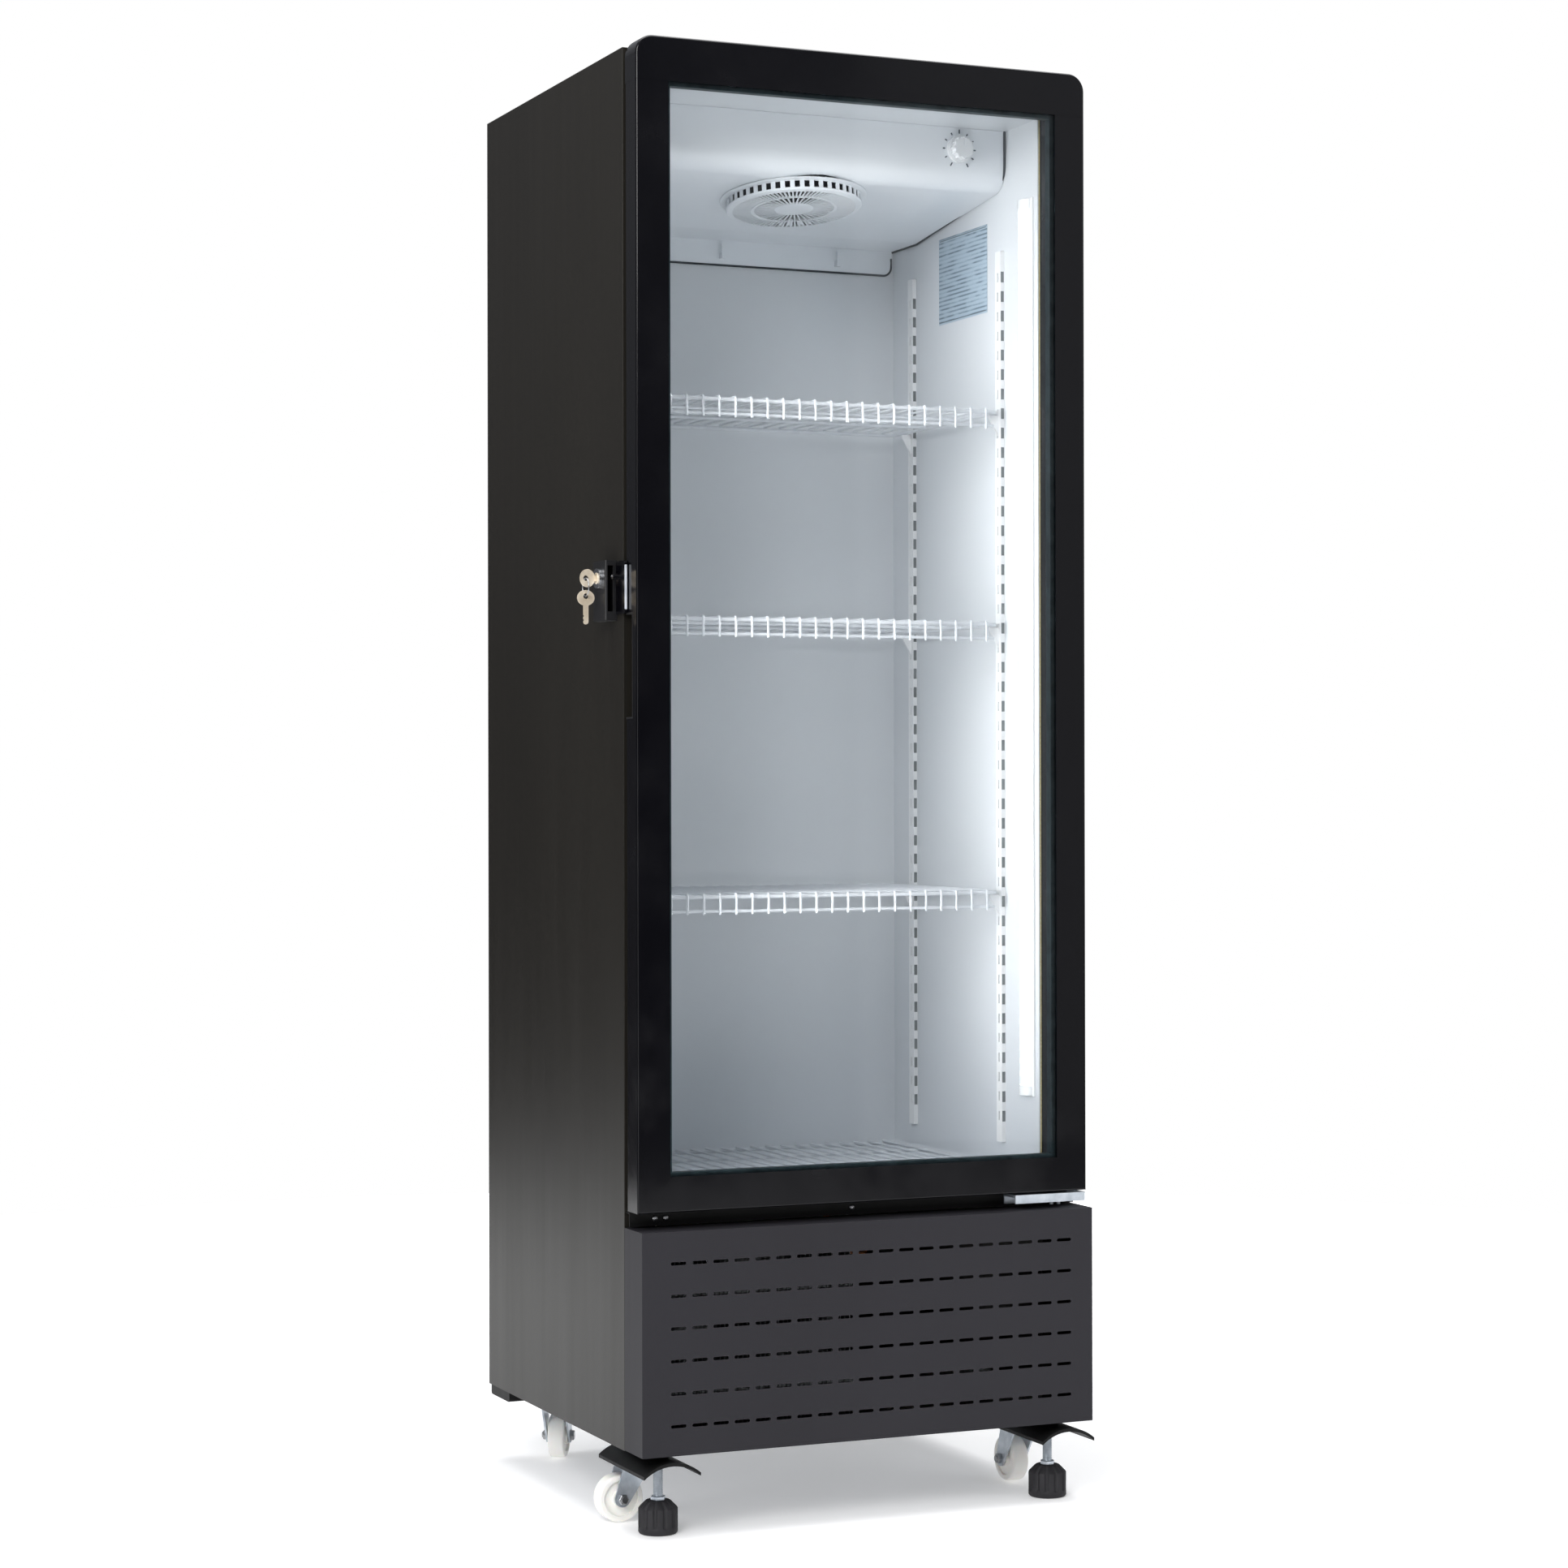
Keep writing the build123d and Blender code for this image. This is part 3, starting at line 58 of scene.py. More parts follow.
# ---- view, room and light -----------------------------------------------------------------
CAMERA_PLACE = Vector((-1.7305, -4.0473, 0.899))
CAMERA_AZIMUTH = math.radians(23.52)
CAMERA_PITCH = math.radians(-0.10)
CAMERA_ROLL = math.radians(0.11)
CAMERA_LENS = 77.5
SENSOR_WIDTH = 36.0

# Name, place, target, width, height and watts of each studio light.
SOFTBOXES = (
    ("key", (-2.6, -2.9, 2.9), (0, 0, 0.9), 1.8, 1.8, 112),
    ("edge", (-3.3, -1.5, 1.0), (0, -0.2, 1.0), 0.5, 3.0, 22),
    ("top", (0.2, -0.2, 4.2), (0, 0, 0), 3.4, 3.4, 190),
    ("fill", (3.6, -3.0, 1.9), (0, 0, 1.0), 1.6, 2.6, 20),
    ("card", (2.3, -3.9, 1.5), (0.3, 0, 1.1), 1.1, 3.0, 4.5),
)
SKY_LOW = (0.055, 0.054, 0.058, 1)
SKY_HIGH = (0.62, 0.64, 0.68, 1)
SKY_TOP = 0.9
AMBIENT = 0.3

# Watts of the two strips in the cabin.
STRIP_WATTS = {"strip_left": 1.134, "strip_right": 0.714}
STRIP_SPREAD = math.radians(64)
STRIP_WIDE = 16 * MM
STRIP_STAND_OFF = 14 * MM
STRIP_END = 12 * MM
STRIP_LEAN = 0.04
STRIP_TINT = (1.0, 0.995, 0.98)

FLOOR_RADIUS = 3.2
FLOOR_COLOUR = (0.92, 0.92, 0.93, 1)
FLOOR_GLOW = 0.24
FAR_GLOW = 1.0
GLOW_START = 0.9
GLOW_END = 2.6


def make_camera():
    """Camera at the reference viewing angle, looking slightly up."""
    azimuth, pitch, roll = CAMERA_AZIMUTH, CAMERA_PITCH, CAMERA_ROLL
    level_part = math.cos(pitch)
    forward = Vector((math.sin(azimuth) * level_part, math.cos(azimuth) * level_part, -math.sin(pitch)))
    level = Vector((math.cos(azimuth), -math.sin(azimuth), 0))
    upward = level.cross(forward)
    right = math.cos(roll) * level - math.sin(roll) * upward
    top = math.sin(roll) * level + math.cos(roll) * upward
    data = bpy.data.cameras.new("camera")
    data.lens = CAMERA_LENS
    data.sensor_width = SENSOR_WIDTH
    camera = bpy.data.objects.new("camera", data)
    turn = Matrix((right, top, -forward)).transposed().to_4x4()
    camera.matrix_world = Matrix.Translation(CAMERA_PLACE) @ turn
    bpy.context.scene.collection.objects.link(camera)
    bpy.context.scene.camera = camera


def add(tree, kind, inputs=(), **settings):
    """Adds a node, sets its properties and fills its inputs with values or links."""
    made = tree.nodes.new(kind)
    for key, value in settings.items():
        setattr(made, key, value)
    for key, value in dict(inputs).items():
        if isinstance(value, bpy.types.NodeSocket):
            tree.links.new(value, made.inputs[key])
        else:
            made.inputs[key].default_value = value
    return made


def make_world():
    """White backdrop for the camera, a dark-horizon studio in reflections, even light elsewhere."""
    world = bpy.data.worlds.new("studio")
    world.use_nodes = True
    bpy.context.scene.world = world
    tree = world.node_tree
    tree.nodes.clear()
    direction = add(tree, "ShaderNodeTexCoord").outputs["Generated"]
    axes = add(tree, "ShaderNodeSeparateXYZ", {"Vector": direction})
    height = add(tree, "ShaderNodeMapRange", {"Value": axes.outputs["Z"], "From Max": SKY_TOP})
    sky = add(tree, "ShaderNodeValToRGB", {"Fac": height.outputs["Result"]})
    sky.color_ramp.elements[0].color = SKY_LOW
    sky.color_ramp.elements[1].color = SKY_HIGH
    studio = add(tree, "ShaderNodeBackground", {"Color": sky.outputs["Color"], "Strength": 1.0})
    ambient = add(tree, "ShaderNodeBackground", {"Color": (0.96, 0.98, 1, 1), "Strength": AMBIENT})
    white = add(tree, "ShaderNodeBackground", {"Color": (1, 1, 1, 1), "Strength": 1.0})
    path = add(tree, "ShaderNodeLightPath")
    mirrored = path.outputs["Is Glossy Ray"]
    soft = add(tree, "ShaderNodeMixShader", {0: mirrored, 1: ambient.outputs[0], 2: studio.outputs[0]})
    seen = path.outputs["Is Camera Ray"]
    both = add(tree, "ShaderNodeMixShader", {0: seen, 1: soft.outputs[0], 2: white.outputs[0]})
    add(tree, "ShaderNodeOutputWorld", {"Surface": both.outputs[0]})


def softbox(name, place, target, width, height, power, tint=(1, 1, 1)):
    """Rectangular studio light aimed at a point."""
    data = bpy.data.lights.new(name, "AREA")
    data.shape = "RECTANGLE"
    data.size = width
    data.size_y = height
    data.energy = power
    data.color = tint
    light = bpy.data.objects.new(name, data)
    light.location = place
    light.rotation_euler = (Vector(target) - Vector(place)).to_track_quat("-Z", "Y").to_euler()
    bpy.context.scene.collection.objects.link(light)
    return light


def make_lights():
    """Studio lights round the object."""
    for row in SOFTBOXES:
        softbox(*row)


def make_strip_lights():
    """Light that the two strips by the door throw across the cabin."""
    low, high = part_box("led_strips")
    middle = (low + high) / 2
    length = high.z - low.z - STRIP_END
    for name, side, x in (("strip_left", 1, low.x), ("strip_right", -1, high.x)):
        place = Vector((x + side * STRIP_STAND_OFF, middle.y, middle.z))
        aim = place + Vector((side, STRIP_LEAN, 0))
        light = softbox(name, place, aim, STRIP_WIDE, length, STRIP_WATTS[name], STRIP_TINT)
        light.data.spread = STRIP_SPREAD


def make_floor():
    """Pale round floor, lit a little from within so that shadows stay soft and its far edge fades."""
    form = bmesh.new()
    bmesh.ops.create_circle(form, cap_ends=True, radius=FLOOR_RADIUS, segments=96)
    mesh = bpy.data.meshes.new("floor")
    form.to_mesh(mesh)
    form.free()
    floor = bpy.data.objects.new("floor", mesh)
    bpy.context.scene.collection.objects.link(floor)
    look = bpy.data.materials.new("pale_floor")
    look.use_nodes = True
    tree = look.node_tree
    shader = tree.nodes["Principled BSDF"]
    shader.inputs["Base Color"].default_value = FLOOR_COLOUR
    shader.inputs["Roughness"].default_value = 0.7
    shader.inputs["Emission Color"].default_value = (1, 1, 1, 1)
    spot = add(tree, "ShaderNodeTexCoord").outputs["Object"]
    away = add(tree, "ShaderNodeVectorMath", {0: spot}, operation="LENGTH").outputs["Value"]
    glow = between(tree, away, FLOOR_GLOW, FAR_GLOW, GLOW_START, GLOW_END)
    tree.links.new(glow, shader.inputs["Emission Strength"])
    mesh.materials.append(look)


# ---- material helpers ---------------------------------------------------------------------
def tone(red, green, blue):
    """Linear colour of an sRGB tone given in 0 to 255."""
    parts = [value / 255 for value in (red, green, blue)]
    return (*[part / 12.92 if part <= 0.04045 else ((part + 0.055) / 1.055) ** 2.4 for part in parts], 1)


def shaded(colour, factor):
    """The same colour, lighter or darker."""
    return (*[min(1, part * factor) for part in colour[:3]], 1)


def placed(tree, stretch=(1, 1, 1)):
    """Coordinates that stay with the piece, in metres, stretched along its axes."""
    own = add(tree, "ShaderNodeTexCoord").outputs["Object"]
    return add(tree, "ShaderNodeMapping", {"Vector": own, "Scale": stretch}).outputs["Vector"]


def noise(tree, scale, stretch=(1, 1, 1), detail=3.0, roughness=0.5):
    """Cloudy values from 0 to 1."""
    inputs = {"Vector": placed(tree, stretch), "Scale": scale, "Detail": detail, "Roughness": roughness}
    return add(tree, "ShaderNodeTexNoise", inputs).outputs["Fac"]


def cells(tree, scale, output="Distance"):
    """Cell pattern: the distance from each cell's centre, or its own colour."""
    return add(tree, "ShaderNodeTexVoronoi", {"Vector": placed(tree), "Scale": scale}).outputs[output]


def between(tree, value, low, high, start=0.0, end=1.0):
    """Maps start..end to low..high, with the ends held."""
    inputs = {"Value": value, "From Min": start, "From Max": end, "To Min": low, "To Max": high}
    return add(tree, "ShaderNodeMapRange", inputs).outputs["Result"]


def math_node(tree, operation, first, second=0.0):
    """One arithmetic step on two values."""
    return add(tree, "ShaderNodeMath", {0: first, 1: second}, operation=operation).outputs[0]


def mixed(tree, factor, first, second):
    """Colour between two colours."""
    made = add(tree, "ShaderNodeMix", {0: factor, 6: first, 7: second}, data_type="RGBA")
    return made.outputs[2]


def bumped(tree, height, depth, below=None):
    """Normal of a relief that is depth millimetres deep."""
    inputs = {"Height": height, "Distance": depth * MM, "Strength": 1.0}
    if below is not None:
        inputs["Normal"] = below
    return add(tree, "ShaderNodeBump", inputs).outputs["Normal"]


def shader_of(name, **sockets):
    """New material with one Principled shader. Socket names have _ for a space."""
    look = bpy.data.materials.new(name)
    look.use_nodes = True
    tree = look.node_tree
    shader = tree.nodes["Principled BSDF"]
    for socket, value in sockets.items():
        shader.inputs[socket.replace("_", " ")].default_value = value
    return look, tree, shader


def finish_look(tree, shader, colour=None, roughness=None, normal=None):
    """Links the finished values to the shader."""
    for socket, value in (("Base Color", colour), ("Roughness", roughness), ("Normal", normal)):
        if value is not None:
            tree.links.new(value, shader.inputs[socket])


# ---- materials ----------------------------------------------------------------------------
def painted_steel(name, colour, satin, warm):
    """Powder coat: orange peel, faint cloudy tone and upright wipe marks in the gloss."""
    look, tree, shader = shader_of(name, Specular_IOR_Level=0.2)
    cloud = noise(tree, 2.6, (1, 1, 0.45), 2)
    wipes = noise(tree, 30, (1, 1, 0.05), 3)
    peel = noise(tree, 620, detail=2)
    speckle = noise(tree, 2400, detail=1)
    base = mixed(tree, cloud, shaded(colour, 0.78), warm)
    tint = mixed(tree, between(tree, wipes, 0, 0.12, 0.4, 0.75), base, shaded(warm, 1.12))
    gloss = math_node(tree, "ADD", between(tree, wipes, satin - 0.02, satin + 0.03, 0.3, 0.7),
                      between(tree, speckle, -0.03, 0.03))
    coarse = bumped(tree, peel, 0.07)
    finish_look(tree, shader, tint, gloss, bumped(tree, speckle, 0.01, coarse))
    return look


def gloss_black():
    """Glossy black extrusion: deep colour under a clear coat with fine dust and fingerprints."""
    sockets = {"Specular_IOR_Level": 0.22, "Coat_Weight": 0.12, "Coat_Roughness": 0.06}
    look, tree, shader = shader_of("gloss_black", **sockets)
    smear = noise(tree, 9, detail=5, roughness=0.6)
    draw = noise(tree, 300, (1, 1, 0.01), 2)
    colour = mixed(tree, smear, tone(4, 4, 7), tone(9, 9, 13))
    rough = between(tree, smear, 0.13, 0.3, 0.42, 0.72)
    finish_look(tree, shader, colour, rough, bumped(tree, draw, 0.004))
    return look


def moulded_plastic(name, colour, gloss, grain=1500.0, depth=0.03):
    """Injection-moulded plastic: flow marks in the tone and a fine spark-eroded grain."""
    look, tree, shader = shader_of(name)
    flow = noise(tree, 11, (1, 1, 0.5), 4)
    texture = noise(tree, grain, detail=2)
    tint = mixed(tree, flow, shaded(colour, 0.94), shaded(colour, 1.03))
    rough = math_node(tree, "ADD", between(tree, flow, gloss - 0.04, gloss + 0.06),
                      between(tree, texture, -0.03, 0.03))
    finish_look(tree, shader, tint, rough, bumped(tree, texture, depth))
    return look


def liner_sheet():
    """Vacuum-formed white liner: slow waviness, painted shade that turns it darker and bluer towards the
    floor, and a soft gloss.
    """
    look, tree, shader = shader_of("liner_sheet", Coat_Weight=0.15, Coat_Roughness=0.12)
    haze = noise(tree, 3.5, detail=4)
    wave = noise(tree, 9, detail=1)
    skin = noise(tree, 700, detail=2)
    height = add(tree, "ShaderNodeSeparateXYZ", {"Vector": placed(tree)}).outputs["Z"]
    # Painted shade: a darker, bluer tone below 0.75 m, at its strongest below 0.4 m.
    low = between(tree, height, 0.35, 0.0, 0.40, 0.75)
    white = mixed(tree, haze, tone(205, 209, 213), tone(214, 217, 220))
    tint = mixed(tree, low, white, tone(194, 200, 208))
    normal = bumped(tree, skin, 0.015, bumped(tree, wave, 0.06))
    finish_look(tree, shader, tint, between(tree, haze, 0.28, 0.35, 0.3, 0.7), normal)
    return look


def galvanised():
    """Hot-dip galvanised sheet: spangle cells that differ in tone and gloss."""
    look, tree, shader = shader_of("galvanised", Metallic=1.0)
    flake = cells(tree, 75, output="Color")
    grey = add(tree, "ShaderNodeRGBToBW", {"Color": flake}).outputs[0]
    frost = noise(tree, 260, detail=3)
    tint = mixed(tree, grey, tone(150, 153, 156), tone(196, 199, 203))
    rough = math_node(tree, "ADD", between(tree, grey, 0.3, 0.5), between(tree, frost, -0.05, 0.08))
    finish_look(tree, shader, tint, rough, bumped(tree, frost, 0.03))
    return look


def plated(name, dark, light, gloss, **sockets):
    """Bright plating: cloudy passivation, fine scratches and small pits."""
    look, tree, shader = shader_of(name, **{"Metallic": 1.0, **sockets})
    bloom = noise(tree, 55, detail=4)
    scratch = noise(tree, 420, (1, 1, 0.08), 4, 0.7)
    tint = mixed(tree, between(tree, bloom, 0, 1, 0.3, 0.7), dark, light)
    rough = math_node(tree, "ADD", between(tree, bloom, gloss, gloss + 0.14),
                      between(tree, scratch, -0.05, 0.08))
    finish_look(tree, shader, tint, rough, bumped(tree, scratch, 0.012))
    return look


def coated_wire():
    """White dipped coating on wire: soft gloss, with a few thicker runs."""
    look, tree, shader = shader_of("coated_wire", Coat_Weight=0.5, Coat_Roughness=0.15)
    runs = noise(tree, 130, detail=3)
    tint = mixed(tree, runs, tone(196, 200, 206), tone(217, 220, 224))
    finish_look(tree, shader, tint, between(tree, runs, 0.25, 0.42), bumped(tree, runs, 0.12))
    return look


def rubber(name, colour, gloss):
    """Moulded rubber: matt, a little dusty on top of a pebbled skin."""
    look, tree, shader = shader_of(name, Specular_IOR_Level=0.35)
    dust = noise(tree, 35, detail=5, roughness=0.65)
    pebble = cells(tree, 1100)
    tint = mixed(tree, between(tree, dust, 0, 0.5, 0.45, 0.8), colour, shaded(colour, 2.1))
    finish_look(tree, shader, tint, between(tree, dust, gloss, gloss + 0.15), bumped(tree, pebble, 0.06))
    return look


def nylon_wheel():
    """Cream nylon: a little light goes into it, with scuffs and dirt that vary round the wheel."""
    look, tree, shader = shader_of("nylon_wheel", Subsurface_Weight=0.12, Subsurface_Scale=0.004)
    scuff = noise(tree, 120, detail=5, roughness=0.7)
    cloud = noise(tree, 28, detail=2)
    clean = mixed(tree, cloud, tone(242, 240, 234), tone(250, 249, 245))
    tint = mixed(tree, between(tree, scuff, 0, 0.4, 0.62, 0.85), clean, tone(196, 190, 178))
    finish_look(tree, shader, tint, between(tree, scuff, 0.38, 0.62), bumped(tree, scuff, 0.05))
    return look


MIRROR_SQUARE = 0.016
MIRROR_SLANT = 0.6


def clear_pane():
    """Toughened glass: nearly clear, faint green, mirrors more at a slant, slightly wavy."""
    look = bpy.data.materials.new("clear_pane")
    look.use_nodes = True
    tree = look.node_tree
    tree.nodes.clear()
    roller = noise(tree, 5, (1, 1, 0.3), 1)
    normal = bumped(tree, roller, 0.03)
    through = add(tree, "ShaderNodeBsdfTransparent", {"Color": (0.982, 0.986, 0.988, 1)})
    shine = {"Roughness": 0.015, "Color": (0.92, 0.96, 1, 1), "Normal": normal}
    mirror = add(tree, "ShaderNodeBsdfGlossy", shine)
    slant = add(tree, "ShaderNodeLayerWeight", {"Blend": 0.5, "Normal": normal}).outputs["Facing"]
    share = between(tree, math_node(tree, "POWER", slant, 5), MIRROR_SQUARE, MIRROR_SLANT)
    both = add(tree, "ShaderNodeMixShader", {0: share, 1: through.outputs[0], 2: mirror.outputs[0]})
    add(tree, "ShaderNodeOutputMaterial", {"Surface": both.outputs[0]})
    return look


LED_PITCH = 16.7 * MM


def lit_lens():
    """Frosted cover that glows, brighter in front of each lamp of the strip."""
    look, tree, shader = shader_of("lit_lens", Roughness=0.35)
    height = add(tree, "ShaderNodeSeparateXYZ", {"Vector": placed(tree)}).outputs["Z"]
    turn = math_node(tree, "MULTIPLY", height, math.tau / LED_PITCH)
    lamp = math_node(tree, "COSINE", turn)
    frost = noise(tree, 900, detail=2)
    glow = math_node(tree, "ADD", between(tree, lamp, 0.12, 0.55, 0.1, 1.0),
                     between(tree, frost, -0.03, 0.03))
    shader.inputs["Base Color"].default_value = tone(236, 240, 244)
    shader.inputs["Emission Color"].default_value = (0.93, 0.96, 1.0, 1)
    tree.links.new(glow, shader.inputs["Emission Strength"])
    finish_look(tree, shader, normal=bumped(tree, frost, 0.04))
    return look


LABEL_RULE_PITCH = 5.6 * MM


def ruled_label():
    """Blank printed label: pale blue-grey with plain darker rules."""
    look, tree, shader = shader_of("ruled_label", Roughness=0.4)
    axes = add(tree, "ShaderNodeSeparateXYZ", {"Vector": placed(tree)})
    turn = math_node(tree, "MULTIPLY", axes.outputs["Z"], math.tau / LABEL_RULE_PITCH)
    rows = math_node(tree, "SINE", turn)
    uneven = noise(tree, 34, (1, 1, 3.0), 2)
    ink = math_node(tree, "MULTIPLY", between(tree, rows, 0, 1, 0.0, 0.6),
                    between(tree, uneven, 0.2, 1.0, 0.4, 0.6))
    tint = mixed(tree, ink, tone(166, 184, 198), tone(96, 114, 128))
    finish_look(tree, shader, tint, between(tree, uneven, 0.32, 0.48), bumped(tree, uneven, 0.04))
    return look


def porous_foam():
    """Cut polyurethane foam: open pores in a yellowed cream."""
    look, tree, shader = shader_of("porous_foam", Subsurface_Weight=0.1, Subsurface_Scale=0.003)
    pores = cells(tree, 420)
    tint = mixed(tree, pores, tone(205, 186, 128), tone(232, 219, 172))
    finish_look(tree, shader, tint, between(tree, pores, 0.7, 0.92), bumped(tree, pores, 0.6))
    return look


def finned(name, dark, light):
    """Thin aluminium: drawn lines across the fins and dull patches."""
    look, tree, shader = shader_of(name, Metallic=1.0)
    drawn = noise(tree, 500, (1, 0.05, 1), 3)
    patch = noise(tree, 22, detail=4)
    tint = mixed(tree, patch, dark, light)
    finish_look(tree, shader, tint, between(tree, drawn, 0.28, 0.5), bumped(tree, drawn, 0.03))
    return look


def make_looks():
    """Every finished material, by name."""
    return {
        "black_paint": painted_steel("black_paint", tone(27, 25, 22), 0.36, tone(36, 34, 30)),
        # Darker copy of the black paint: painted shade on the recessed parts.
        "recess_shade_paint": painted_steel("recess_shade_paint", tone(8, 8, 8), 0.5, tone(12, 12, 12)),
        "grey_paint": painted_steel("grey_paint", tone(36, 35, 39), 0.5, tone(42, 41, 46)),
        "gloss_black": gloss_black(),
        "black_plastic": moulded_plastic("black_plastic", tone(24, 24, 26), 0.38),
        "soft_black": rubber("soft_black", tone(34, 33, 36), 0.55),
        "gasket_rubber": rubber("gasket_rubber", tone(58, 60, 62), 0.5),
        "liner": liner_sheet(),
        "cover_plastic": moulded_plastic("cover_plastic", tone(232, 236, 240), 0.3, 900.0, 0.04),
        "knob_plastic": moulded_plastic("knob_plastic", tone(238, 240, 242), 0.25, 1500.0, 0.01),
        "wire": coated_wire(),
        "white_paint": moulded_plastic("white_paint", tone(232, 233, 234), 0.34, 700.0, 0.05),
        "galvanised": galvanised(),
        "zinc": plated("zinc", tone(172, 181, 190), tone(214, 220, 227), 0.26, Metallic=0.72),
        "nickel": plated("nickel", tone(206, 190, 166), tone(240, 228, 208), 0.3, Metallic=0.45),
        # Pale, only partly metallic plating for the striker edge: painted highlight on the keeper's front
        # edge.
        "striker_highlight": plated("striker_highlight", tone(200, 205, 214), tone(236, 239, 244), 0.34, Metallic=0.35),
        "screw_steel": plated("screw_steel", tone(140, 141, 143), tone(205, 206, 208), 0.22),
        "spacer": plated("spacer", tone(40, 52, 56), tone(58, 72, 76), 0.4),
        "nylon": nylon_wheel(),
        "glass": clear_pane(),
        "lens": lit_lens(),
        "seal_grey": rubber("seal_grey", tone(44, 50, 54), 0.6),
        "scale_ink": moulded_plastic("scale_ink", tone(70, 82, 92), 0.45),
        # Painted shade for the slots of the uprights, on dark slabs and bars.
        "slot_painted_shade": rubber("slot_painted_shade", tone(104, 109, 110), 0.7),
        "label": ruled_label(),
        "foam": porous_foam(),
        "aluminium": finned("aluminium", tone(160, 163, 166), tone(214, 216, 219)),
        "copper": plated("copper", tone(150, 82, 50), tone(214, 140, 98), 0.22),
        "enamel": painted_steel("enamel", tone(16, 16, 17), 0.3, tone(24, 24, 25)),
        "chrome": plated("chrome", tone(190, 192, 196), tone(236, 238, 242), 0.08),
    }


# Which finished material each CAD node that Blender keeps is given.
NODE_LOOKS = {
    "black_paint": ("side_panel_left", "side_panel_right", "top_panel"),
    "recess_shade_paint": ("front_rail", "front_brackets", "rear_supports"),
    "grey_paint": ("grille_panel",),
    "gloss_black": ("door_rail_left", "door_rail_right", "door_rail_bottom", "door_rail_top", "lock_keeper"),
    "black_plastic": (
        "door_handle", "lock_housing", "condenser_fan_shroud", "condenser_fan_blade", "control_box",
        "drain_pan", "evaporator_fan_blade",
    ),
    "gasket_rubber": ("door_gasket",),
    "soft_black": ("compressor_mounts", "foot_left", "foot_right"),
    "liner": ("inner_liner",),
    "cover_plastic": ("evaporator_cover", "fan_grille"),
    "knob_plastic": ("thermostat_knob",),
    "wire": ("shelf_upper", "shelf_middle", "shelf_lower", "floor_rack"),
    "white_paint": ("shelf_standards", "shelf_clips", "led_strips"),
    "galvanised": ("rear_panel", "rear_grille", "base_deck", "evaporator_fan_motor"),
    "zinc": ("hinge_brackets",) + tuple(name for name in NODES if name.startswith("caster_fork")),
    "screw_steel": ("cabinet_screws", "key_ring"),
    "nickel": ("lock_key", "spare_key", "lock_core"),
    "chrome": ("lock_barrel",),
    "spacer": ("glass_spacer",),
    "nylon": tuple(name for name in NODES if name.startswith("caster_wheel")),
    "glass": ("door_glass",),
    "foam": ("foam_insulation",),
    "aluminium": ("condenser_coil", "evaporator_coil"),
    "copper": ("refrigerant_lines",),
    "enamel": ("compressor",),
}


def dress_nodes(looks):
    """Gives each carried-over CAD node its finished material."""
    for look, names in NODE_LOOKS.items():
        for name in names:
            for slot in NODES[name].material_slots:
                slot.material = looks[look]


# ---- shapes -------------------------------------------------------------------------------
def skin(form, rings, looped=False):
    """Faces between neighbouring rings of vertices, closed at the ends or joined into a loop."""
    count = len(rings[0])
    pairs = list(zip(rings, rings[1:]))
    if looped:
        pairs.append((rings[-1], rings[0]))
    for lower, upper in pairs:
        for first in range(count):
            second = (first + 1) % count
            form.faces.new((lower[first], lower[second], upper[second], upper[first]))
    if not looped:
        form.faces.new(rings[0])
        form.faces.new(rings[-1])


def lathe(form, place, profile, steps=48, flutes=12):
    """Turned shape. Each step of the profile is radius, height and depth of the flutes, in mm."""
    rings = []
    for radius, height, depth in profile:
        ring = []
        for step in range(steps):
            angle = math.tau * step / steps
            hollow = depth * max(0.0, math.cos(flutes * angle)) ** 0.6
            reach = (radius - hollow) * MM
            point = Vector((reach * math.cos(angle), reach * math.sin(angle), height * MM))
            ring.append(form.verts.new(place @ point))
        rings.append(ring)
    skin(form, rings)


def prism(form, place, outline, low, high, inset=0.0):
    """Straight piece with an outline in mm, from low to high in metres, its ends drawn in a little."""
    middle = Vector((sum(x for x, _ in outline), sum(y for _, y in outline))) / len(outline)
    rings = []
    taper = inset * 4 * MM
    for height, scale in ((low, 1 - inset), (low + taper, 1), (high - taper, 1), (high, 1 - inset)):
        ring = []
        for corner in outline:
            x, y = middle + (Vector(corner) - middle) * scale
            ring.append(form.verts.new(place @ Vector((x * MM, y * MM, height))))
        rings.append(ring)
    skin(form, rings)


def slab(form, low, high, edge=0.0, place=Matrix.Identity(4)):
    """Box between two corners, in metres, with rounded edges."""
    low, high = Vector(low), Vector(high)
    verts = bmesh.ops.create_cube(form, size=1.0)["verts"]
    bmesh.ops.scale(form, vec=high - low, verts=verts)
    bmesh.ops.translate(form, vec=(low + high) / 2, verts=verts)
    bmesh.ops.transform(form, matrix=place, verts=verts)
    if edge:
        edges = list({side for vert in verts for side in vert.link_edges})
        bmesh.ops.bevel(form, geom=edges, offset=edge, segments=2, affect="EDGES", clamp_overlap=True)


def pipe(form, points, radius, sides=10):
    """Round bead along a line of points, in metres."""
    rings = []
    for number, point in enumerate(points):
        before = points[max(0, number - 1)]
        after = points[min(len(points) - 1, number + 1)]
        turn = (after - before).to_track_quat("Z", "Y").to_matrix()
        ring = []
        for step in range(sides):
            angle = math.tau * step / sides
            around = Vector((radius * math.cos(angle), radius * math.sin(angle), 0))
            ring.append(form.verts.new(point + turn @ around))
        rings.append(ring)
    skin(form, rings)


def arc(centre, radius, start, end, steps=8):
    """Points of an arc in a plane, as pairs."""
    angles = [math.radians(start + (end - start) * step / steps) for step in range(steps + 1)]
    return [(centre[0] + radius * math.cos(a), centre[1] + radius * math.sin(a)) for a in angles]


